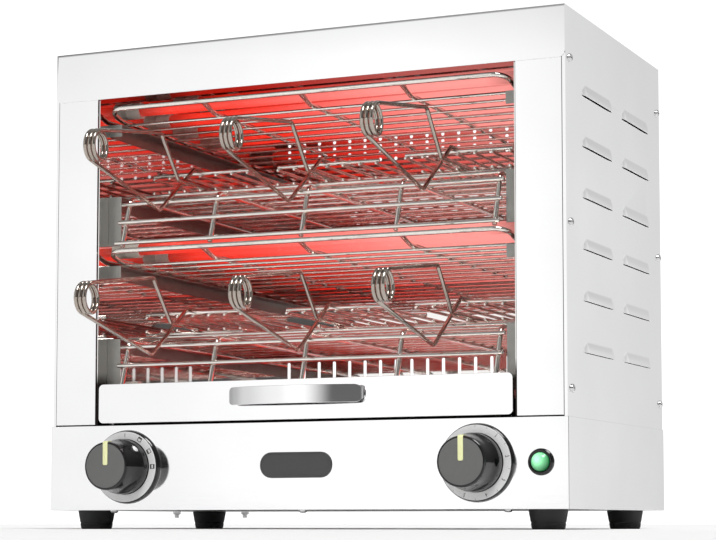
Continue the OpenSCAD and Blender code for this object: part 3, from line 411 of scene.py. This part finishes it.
coilStart = leaveAngle(tong["upperBend"], 1)
coilSweep = leaveAngle(tong["lowerBend"], -1) + tong["fullTurns"] * 2 * math.pi - coilStart
coilHalf = coilSweep / (2 * math.pi) * tong["turnPitch"] / 2
coilCount = round(tong["turnSteps"] * coilSweep / (2 * math.pi))
coilPath = []
for k in range(coilCount + 1):
    angle = coilStart + coilSweep * k / coilCount
    coilPath.append(Vector((coilHalf * (1 - 2 * k / coilCount), tong["radius"] * math.cos(angle),
                            tong["radius"] * math.sin(angle))))
lowerBend = Vector((-coilHalf, *tong["lowerBend"]))
leaveWay = (lowerBend - coilPath[-1]).normalized()
upperLeg = bendPath([(coilHalf, tong["stemEnd"], tong["stemLow"]), (coilHalf, tong["upperFoot"], tong["stemLow"]),
                     (coilHalf, *tong["upperBend"]), coilPath[0]], tong["bendRadius"])[:-1]
springPath = upperLeg + coilPath + [coilPath[-1] + leaveWay * tong["split"]]
leverPath = bendPath([coilPath[-1] + leaveWay * (tong["split"] + tong["splitGap"]), lowerBend,
                      (-coilHalf, tong["leverFoot"], tong["stemHigh"]),
                      (-coilHalf, tong["stemEnd"], tong["stemHigh"])], tong["bendRadius"])


def jawRuns(centre, height, side):  # bars across a jaw and the wires on the side towards the bread
    front = centre + Vector((0, tong["jawFront"], height))
    runs = []
    for y in tong["jawBars"]:
        runs.append(([front + Vector((s * tong["jawHalf"], y, 0)) for s in (-1, 1)], tong["jawBar"]))
    for k in range(tong["jawWires"]):
        x = (k - (tong["jawWires"] - 1) / 2) * tong["jawPitch"]
        ends = (-tong["jawOver"], tong["jawBars"][-1] + tong["jawOver"])
        runs.append(([front + Vector((x, y, side * tong["wireStep"])) for y in ends], tong["jawWire"]))
    return runs


for i, (x, pull) in enumerate(zip(tong["places"], tong["pulls"])):
    n = i + 1
    centre = Vector((x, -tong["home"] - pull, tong["height"] - (deckPitch if i >= tong["perDeck"] else 0)))
    spring = wirePiece([([centre + p for p in springPath], tong["wire"])], tong["sides"])
    settle(spring, "tong%dSpring" % n, springWire, "tong_%d" % n, "chrome_wire", "tong_%d_spring" % n, angle=50)
    lever = wirePiece([([centre + p for p in leverPath], tong["wire"])], tong["sides"])
    settle(lever, "tong%dLever" % n, springWire, "tong_%d_arm" % n, "chrome_wire", "tong_%d_lever" % n, angle=50)
    settle(wirePiece(jawRuns(centre, tong["jawLow"], 1)), "tong%dLowerJaw" % n, brightWire, "tong_%d" % n,
           "chrome_wire", "tong_%d_jaw" % n, angle=50)
    settle(wirePiece(jawRuns(centre, tong["jawHigh"], -1)), "tong%dUpperJaw" % n, brightWire, "tong_%d_arm" % n,
           "chrome_wire", "tong_%d_clamp" % n, angle=50)
print("tongs wound")


# sheet metal whose long edges are bent, not cut sharp
bend = {"flat": 0.5, "sharp": 60.0, "foldSteps": 4, "tolerance": 0.05}


def sheetCopy(node, width, shortest, fold=0):  # fold: radius along the front's top and left edge
    piece = bpy.data.objects.new(node + "Sheet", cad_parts[node].data.copy())
    bpy.context.scene.collection.objects.link(piece)
    pick(piece)
    bpy.ops.mesh.customdata_custom_splitnormals_clear()
    bpy.ops.object.mode_set(mode="EDIT")
    bpy.ops.mesh.select_mode(type="EDGE")
    bpy.ops.mesh.select_all(action="SELECT")
    bpy.ops.mesh.remove_doubles(threshold=weld["sheet"] * mm)
    bpy.ops.mesh.dissolve_limited(angle_limit=math.radians(bend["flat"]))
    bpy.ops.mesh.select_all(action="DESELECT")
    if fold:
        bpy.ops.object.mode_set(mode="OBJECT")
        points = piece.data.vertices
        near = bend["tolerance"] * mm
        front, left = min(v.co.y for v in points), min(v.co.x for v in points)
        top = max(v.co.z for v in points)
        for edge in piece.data.edges:
            ends = [points[i].co for i in edge.vertices]
            edge.select = all(p.y < front + near for p in ends) and (
                all(p.z > top - near for p in ends) or all(p.x < left + near for p in ends))
        bpy.ops.object.mode_set(mode="EDIT")
        bpy.ops.mesh.bevel(offset=fold * mm, segments=bend["foldSteps"], affect="EDGES", clamp_overlap=False)
        bpy.ops.mesh.select_all(action="DESELECT")
    bpy.ops.mesh.edges_select_sharp(sharpness=math.radians(bend["sharp"]))
    bpy.ops.object.mode_set(mode="OBJECT")
    points = piece.data.vertices
    for edge in piece.data.edges:
        a, b = edge.vertices
        edge.select = edge.select and (points[a].co - points[b].co).length > shortest * mm
    bpy.ops.object.mode_set(mode="EDIT")
    bpy.ops.mesh.bevel(offset=width * mm, segments=edgeSteps, affect="EDGES", clamp_overlap=True)
    bpy.ops.object.mode_set(mode="OBJECT")
    return piece


# name, node, body, finish, then in mm: radius of the edges, shortest edge that is rounded, radius of the front fold
sheets = (("topCover", "top_cover", "housing", brightSteel, 0.45, 30, 2.2),
          ("leftSidePanel", "left_side_panel", "housing", brightSteel, 0.45, 100, 0),
          ("rightSidePanel", "right_side_panel", "housing", brightSteel, 0.45, 100, 0),
          ("leftFrontColumn", "left_front_column", "housing", brightSteel, 0.45, 100, 0),
          ("rightFrontColumn", "right_front_column", "housing", brightSteel, 0.45, 100, 0),
          ("baseShell", "base_shell", "housing", brightSteel, 0.7, 60, 0),
          ("rearPanel", "rear_panel", "housing", polishedSteel, 0.3, 200, 0),
          ("trayFront", "tray_front", "crumb_tray", brightSteel, 0.4, 20, 0),
          ("supportRails", "support_rails", "housing", zincSheet, 0.25, 100, 0),
          ("crumbPan", "crumb_pan", "crumb_tray", brightSteel, 0.25, 60, 0))
nudge = {"reach": 2.0, "panLean": 9.0, "columnGap": 0.9}  # the pan's front leans, the columns end above the base
for name, node, body, material, width, shortest, fold in sheets:
    piece = sheetCopy(node, width, shortest, fold)
    low = min(v.co.z for v in piece.data.vertices) + nudge["reach"] * mm
    front = min(v.co.y for v in piece.data.vertices) + nudge["reach"] * mm
    for v in piece.data.vertices:
        if node == "crumb_pan" and v.co.z < low and v.co.y < front:
            v.co.y += nudge["panLean"] * mm
        elif node.endswith("front_column") and v.co.z < low:
            v.co.z += nudge["columnGap"] * mm
    settle(piece, name, material, body, "satin_steel", node, angle=30)
    addModifier(piece, "WEIGHTED_NORMAL", keep_sharp=True)
print("sheets bent")


# turned pieces: a circle pulled out along its axis, ring after ring
def turned(profile, sides=72):  # profile of (radius, height) in mm; open ends are capped
    clearSelection()
    bpy.ops.mesh.primitive_circle_add(vertices=sides, radius=profile[0][0] * mm, fill_type="NOTHING",
                                      location=(0, 0, profile[0][1] * mm))
    piece = bpy.context.object
    bpy.ops.object.transform_apply(location=True)
    bpy.ops.object.mode_set(mode="EDIT")
    bpy.ops.mesh.select_mode(type="VERT")
    bpy.ops.mesh.select_all(action="SELECT")
    for (r0, h0), (r1, h1) in zip(profile, profile[1:]):
        bpy.ops.mesh.extrude_region_move(TRANSFORM_OT_translate={"value": (0, 0, (h1 - h0) * mm)})
        bpy.ops.transform.resize(value=(r1 / r0, r1 / r0, 1), center_override=(0, 0, h1 * mm))
    bpy.ops.mesh.select_all(action="SELECT")
    bpy.ops.mesh.remove_doubles(threshold=weld["turned"] * mm)
    bpy.ops.mesh.select_all(action="DESELECT")
    bpy.ops.mesh.select_non_manifold()
    bpy.ops.mesh.fill_holes(sides=sides)
    bpy.ops.mesh.select_all(action="SELECT")
    bpy.ops.mesh.normals_make_consistent(inside=False)
    bpy.ops.object.mode_set(mode="OBJECT")
    return piece


def facePanel(piece, x, y, z):  # its axis points out of the control panel
    piece.rotation_euler = (math.radians(90), 0, 0)
    piece.location = spot(x, y, z)
    return piece


stripAngle = 50  # edges of a strip that are sharper than this are rounded


def bentStrip(spine, across, halves, thickness, edge):  # a flat strip along a spine, mm
    clearSelection()
    bpy.ops.mesh.primitive_grid_add(x_subdivisions=len(spine) - 1, y_subdivisions=1, size=1)
    piece = bpy.context.object
    order = sorted(piece.data.vertices, key=lambda v: (round(v.co.x, 5), v.co.y))
    for i, (place, half) in enumerate(zip(spine, halves)):
        for j, side in enumerate((-1, 1)):
            order[2 * i + j].co = spot(*place) + Vector(across) * side * half * mm
    pick(piece)
    bpy.ops.object.mode_set(mode="EDIT")
    bpy.ops.mesh.select_all(action="SELECT")
    bpy.ops.mesh.normals_make_consistent(inside=False)
    bpy.ops.object.mode_set(mode="OBJECT")
    addModifier(piece, "SOLIDIFY", thickness=thickness * mm, offset=0)
    roundEdges(piece, edge, stripAngle)
    return piece


def joined(parts):
    clearSelection()
    for part in parts:
        part.select_set(True)
    bpy.context.view_layer.objects.active = parts[0]
    bpy.ops.object.join()
    return parts[0]


dial = {"height": 49.6, "panel": -1.0, "left": -149.5, "right": 149.5,
        "bezel": ((4.0, 0.0), (29.5, 0.0), (29.6, 0.4), (28.9, 3.2), (28.5, 4.0), (28.2, 4.2), (4.0, 4.2), (4.0, 0.0)),
        "scale": ((22.2, 4.2), (28.1, 4.2), (28.1, 4.4), (27.9, 4.55), (22.3, 4.55), (22.2, 4.4), (22.2, 4.2)),
        "body": ((21.2, 5.0), (21.8, 5.3), (22.0, 6.0), (22.0, 12.0), (21.8, 13.6), (21.2, 15.2), (20.3, 18.0),
                 (19.7, 22.0), (19.35, 27.0), (19.1, 31.5), (19.0, 33.4), (18.8, 34.3), (18.3, 34.9),
                 (17.7, 35.0), (17.5, 34.7)),
        "face": ((17.5, 34.6), (17.3, 34.85), (16.8, 34.95), (9.0, 34.8), (0.5, 34.75)),
        "pointer": ((0.6, 35.0, 1.5), (1.6, 35.0, 2.1), (12.0, 35.1, 2.1), (17.4, 35.2, 2.1), (18.4, 35.1, 2.1),
                    (19.1, 34.5, 2.1), (19.35, 33.4, 2.1), (19.5, 31.0, 2.1), (19.6, 28.0, 1.8)),
        "pointerThickness": 0.5, "pointerEdge": 0.15}
mark = {"radius": 25.2, "lift": 4.58, "thickness": 0.1, "line": 0.45, "tick": 1.1, "tickRadius": 27.2,
        "numeral": 3.6, "box": 2.8, "boxWide": 3.2, "heavy": 3, "ovens": ((32, (1,)), (61, (-1,)), (90, (1, -1))),
        "numerals": 7, "numeralStep": 40, "ticks": 16, "tickStep": 20}


def markSpot(x, turn, across, out):  # a place on the dial, clockwise from the top
    a = math.radians(turn)
    return spot(x + out * math.sin(a) + across * math.cos(a), dial["panel"] - mark["lift"],
                dial["height"] + out * math.cos(a) - across * math.sin(a))


def inkBar(x, turn, across, out, width, height):
    clearSelection()
    bpy.ops.mesh.primitive_cube_add(size=1, location=markSpot(x, turn, across, out),
                                    rotation=(0, math.radians(turn), 0))
    bar = bpy.context.object
    bar.scale = Vector((width, mark["thickness"], height)) * mm
    return bar


def inkNumeral(x, turn, figure):
    clearSelection()
    bpy.ops.object.text_add(location=(0, 0, 0))
    numeral = bpy.context.object
    numeral.data.body = figure
    numeral.data.size = mark["numeral"] * mm
    numeral.data.align_x = numeral.data.align_y = "CENTER"
    numeral.data.extrude = mark["thickness"] / 2 * mm
    bpy.ops.object.convert(target="MESH")
    numeral = bpy.context.object
    numeral.rotation_euler = (math.radians(90), math.radians(turn), 0)
    numeral.location = markSpot(x, turn, 0, mark["radius"])
    return numeral


def inkFrame(x, turn, bars):  # a little oven with its lit shelves
    half, wide, line = mark["box"] / 2, mark["boxWide"] / 2, mark["line"]
    lines = [inkBar(x, turn, side * wide, mark["radius"], line, mark["box"]) for side in (-1, 1)]
    lines += [inkBar(x, turn, 0, mark["radius"] + up * half, mark["boxWide"] + line,
                     line * (mark["heavy"] if up in bars else 1)) for up in (-1, 1)]
    return lines


ink = {"selector": [], "timer": []}
for turn, bars in mark["ovens"]:
    ink["selector"] += inkFrame(dial["left"], turn, bars)
ink["selector"].append(inkBar(dial["left"], 0, 0, mark["radius"], mark["line"], mark["box"]))
for n in range(1, mark["numerals"] + 1):
    ink["timer"].append(inkNumeral(dial["right"], mark["numeralStep"] * n, str(n)))
for n in range(mark["ticks"]):
    ink["timer"].append(inkBar(dial["right"], mark["tickStep"] * n, 0, mark["tickRadius"], mark["line"] / 2,
                               mark["tick"]))
for side, x, ringNode, knobNode in (("selector", dial["left"], "selector_ring", "selector_knob"),
                                    ("timer", dial["right"], "timer_ring", "timer_knob")):
    place = (x, dial["panel"], dial["height"])
    settle(facePanel(turned(dial["bezel"]), *place), side + "Bezel", glossBlack, "housing", "black_plastic", ringNode)
    settle(facePanel(turned(dial["scale"]), *place), side + "Scale", silverLacquer, "housing", "black_plastic")
    settle(joined(ink[side]), side + "Marks", dialInk, "housing", "black_plastic")
    settle(facePanel(turned(dial["body"]), *place), side + "KnobBody", glossBlack, side, "charcoal_plastic", knobNode,
           angle=30)
    settle(facePanel(turned(dial["face"]), *place), side + "KnobFace", mattCharcoal, side, "charcoal_plastic")
    spine = [(x, dial["panel"] - h, dial["height"] + r) for r, h, half in dial["pointer"]]
    pointer = bentStrip(spine, (1, 0, 0), [half for r, h, half in dial["pointer"]], dial["pointerThickness"],
                        dial["pointerEdge"])
    settle(pointer, side + "Pointer", pointerPaint, side, "charcoal_plastic")
print("knobs turned")

lamp = {"place": (199.5, -1.0, 49.6), "sides": 48,
        "bezel": ((6.0, -2.0), (6.0, 0.0), (9.8, 0.0), (10.0, 0.3), (10.0, 0.9), (9.7, 1.8), (9.2, 2.4), (8.6, 2.6),
                  (7.8, 2.5), (7.3, 2.2), (7.15, 1.2), (6.0, 1.0), (6.0, -2.0)),
        "lens": ((7.0, 1.0), (7.0, 2.4), (6.9, 2.9), (6.5, 3.9), (5.7, 4.9), (4.6, 5.7), (3.2, 6.2), (1.6, 6.45),
                 (0.3, 6.5))}
bezel = turned(lamp["bezel"], lamp["sides"])
settle(facePanel(bezel, *lamp["place"]), "lampBezel", glossBlack, "housing", "black_plastic", "lamp_bezel")
lens = turned(lamp["lens"], lamp["sides"])
settle(facePanel(lens, *lamp["place"]), "lampLens", greenLens, "housing", "green_lens", "lamp_lens")

# bare plate between the knobs, with a raised rim
plate = {"rim": 1.3, "step": 0.2, "sink": 0.3, "edge": 0.35, "edgeAngle": 60, "crease": 0.1, "shortest": 30,
         "facing": -0.99}
piece = sheetCopy("badge_plate", plate["crease"], plate["shortest"])
pick(piece)
bpy.ops.object.mode_set(mode="EDIT")
bpy.ops.mesh.select_mode(type="FACE")
bpy.ops.mesh.select_all(action="DESELECT")
bpy.ops.object.mode_set(mode="OBJECT")
for polygon in piece.data.polygons:
    polygon.select = polygon.normal.y < plate["facing"]
bpy.ops.object.mode_set(mode="EDIT")
bpy.ops.mesh.inset(thickness=plate["rim"] * mm, depth=0)
bpy.ops.mesh.inset(thickness=plate["step"] * mm, depth=-plate["sink"] * mm)
bpy.ops.object.mode_set(mode="OBJECT")
roundEdges(piece, plate["edge"], plate["edgeAngle"])
settle(piece, "barePlate", plateCharcoal, "housing", "black_plastic", "badge_plate")
print("lamp and plate made")

# bow handle: a flat strip in a shallow arc with rounded ends
handle = {"height": 103.65, "half": 7.0, "endRadius": 5.5, "out": 15.0, "span": 58.0, "thickness": 1.5, "steps": 48,
          "edge": 0.3}
inner = handle["thickness"] / 2
spine, halves = [], []
for i in range(handle["steps"] + 1):
    turn = math.pi * (1 - i / handle["steps"])
    spine.append(((handle["span"] - inner) * math.cos(turn),
                  -inner - (handle["out"] - 2 * inner) * math.sin(turn), handle["height"]))
    short = max(0, handle["endRadius"] - (handle["span"] - inner - abs(spine[-1][0])))
    halves.append(handle["half"] - handle["endRadius"] + math.sqrt(handle["endRadius"] ** 2 - short ** 2))
strip = bentStrip(spine, (0, 0, 1), halves, handle["thickness"], handle["edge"])
settle(strip, "trayHandle", brightSteel, "crumb_tray", "satin_steel", "tray_handle", angle=30)
addModifier(strip, "WEIGHTED_NORMAL", keep_sharp=True)
rivet = {"place": 50.0, "sides": 24, "profile": ((2.2, 0.0), (2.2, 0.5), (1.9, 0.9), (1.2, 1.15), (0.2, 1.2))}
for side, name in ((-1, "left"), (1, "right")):
    head = facePanel(turned(rivet["profile"], rivet["sides"]), side * rivet["place"], 0, handle["height"])
    settle(head, name + "TrayRivet", screwSteel, "crumb_tray", "satin_steel")

# cheeks that stiffen the tray's front against the pan's sides: y, middle height and half height along each
cheek = {"side": 173.6, "shape": ((1.2, 101.5, 14.0), (26.0, 101.5, 14.0), (32.0, 98.5, 11.0), (38.0, 93.0, 5.5)),
         "thickness": 0.8, "edge": 0.2}
for side, name in ((-1, "left"), (1, "right")):
    spine = [(side * cheek["side"], y, z) for y, z, half in cheek["shape"]]
    wall = bentStrip(spine, (0, 0, 1), [half for y, z, half in cheek["shape"]], cheek["thickness"], cheek["edge"])
    settle(wall, name + "TrayCheek", brightSteel, "crumb_tray", "satin_steel", angle=30)
print("handle bent")


# screws, feet and gland
def placed(piece, turn, place):  # a copy with its own mesh, turned in degrees
    twin = piece.copy()
    twin.data = piece.data.copy()
    bpy.context.scene.collection.objects.link(twin)
    twin.rotation_euler = [math.radians(t) for t in turn]
    twin.location = spot(*place)
    return twin


screw = {"profile": ((1.75, -6.0), (1.75, 0.0), (3.25, 0.0), (3.25, 0.45), (3.05, 1.1), (2.4, 1.7), (1.4, 1.95),
                     (0.3, 2.0)), "recess": (3.6, 0.9, 2.4), "top": 2.0,
         "sideY": (10.7, 246.0), "sideZ": (351.0, 227.5, 104.0), "side": 220.0, "rearTop": (-150.0, 0.0, 150.0),
         "rearTopZ": 384.0, "rearTopY": 254.0, "rearLow": 214.0, "rearLowZ": (32.0, 66.0), "rearLowY": 253.0,
         "footX": 195.0, "footY": (28.0, 225.0), "footZ": 7.5, "sides": 24}
pattern = turned(screw["profile"], screw["sides"])
for turn in (0, 90):  # cross recess
    clearSelection()
    bpy.ops.mesh.primitive_cube_add(size=1, location=(0, 0, screw["top"] * mm), rotation=(0, 0, math.radians(turn)))
    cutter = bpy.context.object
    cutter.scale = [s * mm for s in screw["recess"]]
    addModifier(pattern, "BOOLEAN", operation="DIFFERENCE", solver="EXACT", object=cutter)
    bpy.data.objects.remove(cutter)
heads = []
for side in (-1, 1):
    for z in screw["sideZ"]:
        heads += [placed(pattern, (0, side * 90, 0), (side * screw["side"], y, z)) for y in screw["sideY"]]
    heads += [placed(pattern, (-90, 0, 0), (side * screw["rearLow"], screw["rearLowY"], z)) for z in screw["rearLowZ"]]
    heads += [placed(pattern, (180, 0, 0), (side * screw["footX"], y, screw["footZ"])) for y in screw["footY"]]
heads += [placed(pattern, (-90, 0, 0), (x, screw["rearTopY"], screw["rearTopZ"])) for x in screw["rearTop"]]
bpy.data.objects.remove(pattern)
settle(joined(heads), "crossScrews", screwSteel, "housing", "satin_steel", "screws")

# heads and studs that show below the base
below = {"height": 15.0, "heads": ((-169.0, 12.0), (0.0, 12.0), (169.0, 12.0)),
         "studs": ((-174.0, 126.0), (-108.5, 126.0)), "headSides": 24, "studSides": 6,
         "head": ((3.25, 0.0), (3.25, 0.5), (3.05, 1.2), (2.4, 1.9), (1.4, 2.2), (0.3, 2.25)),
         "stud": ((3.25, 0.0), (3.25, 2.4), (2.9, 2.8), (2.0, 2.8), (2.0, 5.2), (1.6, 5.6), (0.3, 5.6))}
fixings = []
for kind in ("head", "stud"):
    pattern = turned(below[kind], below[kind + "Sides"])
    fixings += [placed(pattern, (180, 0, 0), (x, y, below["height"])) for x, y in below[kind + "s"]]
    bpy.data.objects.remove(pattern)
settle(joined(fixings), "undersideFixings", screwSteel, "housing", "satin_steel")

foot = {"profile": ((3.45, 7.5), (3.45, 0.4), (3.9, 0.0), (11.4, 0.0), (12.2, 0.35), (12.6, 1.2), (13.15, 4.6),
                    (12.9, 4.9), (12.95, 5.5), (13.35, 5.8), (14.75, 13.6), (14.9, 14.4), (14.7, 15.0), (1.95, 15.0),
                    (1.95, 7.5), (3.45, 7.5)), "sides": 48}
pattern = turned(foot["profile"], foot["sides"])
feet = [placed(pattern, (0, 0, 0), (x, y, 0)) for x in (-screw["footX"], screw["footX"]) for y in screw["footY"]]
bpy.data.objects.remove(pattern)
settle(joined(feet), "rubberFeet", mattRubber, "housing", "black_rubber", "feet")

gland = {"place": (150.0, 253.0, 45.0), "domeSides": 48, "nutSides": 6,
         "nut": ((8.2, 0.0), (12.0, 0.0), (12.0, 3.4), (11.4, 4.0), (8.2, 4.0), (8.2, 0.0)),
         "dome": ((4.0, -11.0), (8.0, -11.0), (8.0, 4.0), (10.6, 4.0), (11.0, 4.4), (10.9, 5.4), (10.2, 8.2),
                  (9.4, 9.4), (8.2, 10.0), (5.0, 10.0), (4.2, 9.5), (4.0, 8.6), (4.0, -11.0))}
piece = joined([turned(gland["dome"], gland["domeSides"]), turned(gland["nut"], gland["nutSides"])])
piece.rotation_euler = (math.radians(-90), 0, 0)
piece.location = spot(*gland["place"])
settle(piece, "cableGland", glossBlack, "housing", "black_plastic", "cable_gland")
print("screws, feet and gland placed")

# CAD nodes that keep their shape
for node, material in (("base_floor", millSteel), ("base_top", brightSteel), ("left_liner", paintedShadeLiner),
                       ("right_liner", paintedShadeLiner), ("ceiling_reflector", paintedShadeCeiling),
                       ("quartz_tubes", quartzGlow), ("heating_cores", wireGlow), ("tube_caps", chalkCeramic),
                       ("selector_switch", glossBlack), ("timer_body", glossBlack),
                       ("terminal_block", palePolyamide)):
    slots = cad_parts[node].data.materials
    if not slots:
        slots.append(material)
    for i in range(len(slots)):
        slots[i] = material
print("CAD finishes set")

# floor, world and lights
floor = {"size": 12.0, "shade": ("#F7F7F7", "#F9F9F9"), "roughness": (0.9, 1.0), "grain": 40.0, "bump": 0.02}
clearSelection()
bpy.ops.mesh.primitive_plane_add(size=floor["size"], location=(0, 0, 0))
ground = bpy.context.object
ground.name = "studioFloor"
# matt painted floor: nearly white, with a faint cloudiness
ground.data.materials.append(plastic("paleFloor", floor["shade"], floor["roughness"], floor["grain"], floor["bump"]))

# the studio's walls, once round from the left by the front (0.25), the right (0.5) and the back (0.75)
studio = {"ramp": ((0.0, 0.36), (0.06, 0.46), (0.11, 0.66), (0.163, 0.87), (0.187, 1.06), (0.243, 0.12),
                   (0.42, 0.12), (0.52, 0.50), (0.694, 0.74), (0.713, 0.60), (0.735, 0.62), (0.775, 1.0),
                   (0.86, 1.0), (0.91, 0.3), (1.0, 0.40)),
          "strength": 1.2, "zenith": 0.28, "zenithFrom": 0.15, "zenithTo": 0.8}
world = bpy.data.worlds.new("whiteStudio")
bpy.context.scene.world = world
world.use_nodes = True
tree = world.node_tree
tree.nodes.clear()
way = addNode(tree, "ShaderNodeTexCoord")
azimuth = addNode(tree, "ShaderNodeTexGradient", {"Vector": (way, "Generated")}, gradient_type="RADIAL")
ramp = addNode(tree, "ShaderNodeValToRGB", {"Fac": (azimuth, "Fac")})
ramp.color_ramp.interpolation = "EASE"
while len(ramp.color_ramp.elements) < len(studio["ramp"]):
    ramp.color_ramp.elements.new(0.5)
for stop, (place, value) in zip(ramp.color_ramp.elements, studio["ramp"]):
    stop.position = place
    stop.color = (value,) * 3 + (1,)
axes = addNode(tree, "ShaderNodeSeparateXYZ", {"Vector": (way, "Generated")})
height = addNode(tree, "ShaderNodeMapRange", {"Value": (axes, "Z"), "From Min": studio["zenithFrom"],
                                              "From Max": studio["zenithTo"]})
dome = blend(tree, (height, "Result"), (ramp, "Color"), (studio["zenith"],) * 3 + (1,))
light = addNode(tree, "ShaderNodeBackground", {"Color": (dome, mixResult), "Strength": studio["strength"]})
addNode(tree, "ShaderNodeOutputWorld", {"Surface": (light, "Background")})

softbox = {"place": (-1.3, -2.4, 0.9), "size": (1.0, 1.2), "power": 0.1, "aim": (0, 0, 0.2)}
bpy.ops.object.light_add(type="AREA", location=softbox["place"])
key = bpy.context.object
key.name = "keySoftbox"
key.data.shape = "RECTANGLE"
key.data.size, key.data.size_y = softbox["size"]
key.data.energy = softbox["power"]
key.rotation_euler = (Vector(softbox["place"]) - Vector(softbox["aim"])).to_track_quat("Z", "Y").to_euler()

sun = {"height": 3.0, "strength": 2.3, "spread": 25, "tilt": (24, 22, 0)}
bpy.ops.object.light_add(type="SUN", location=(0, 0, sun["height"]))
overhead = bpy.context.object
overhead.name = "overheadLight"
overhead.data.energy = sun["strength"]
overhead.data.angle = math.radians(sun["spread"])
overhead.rotation_euler = [math.radians(t) for t in sun["tilt"]]
print("studio lit")
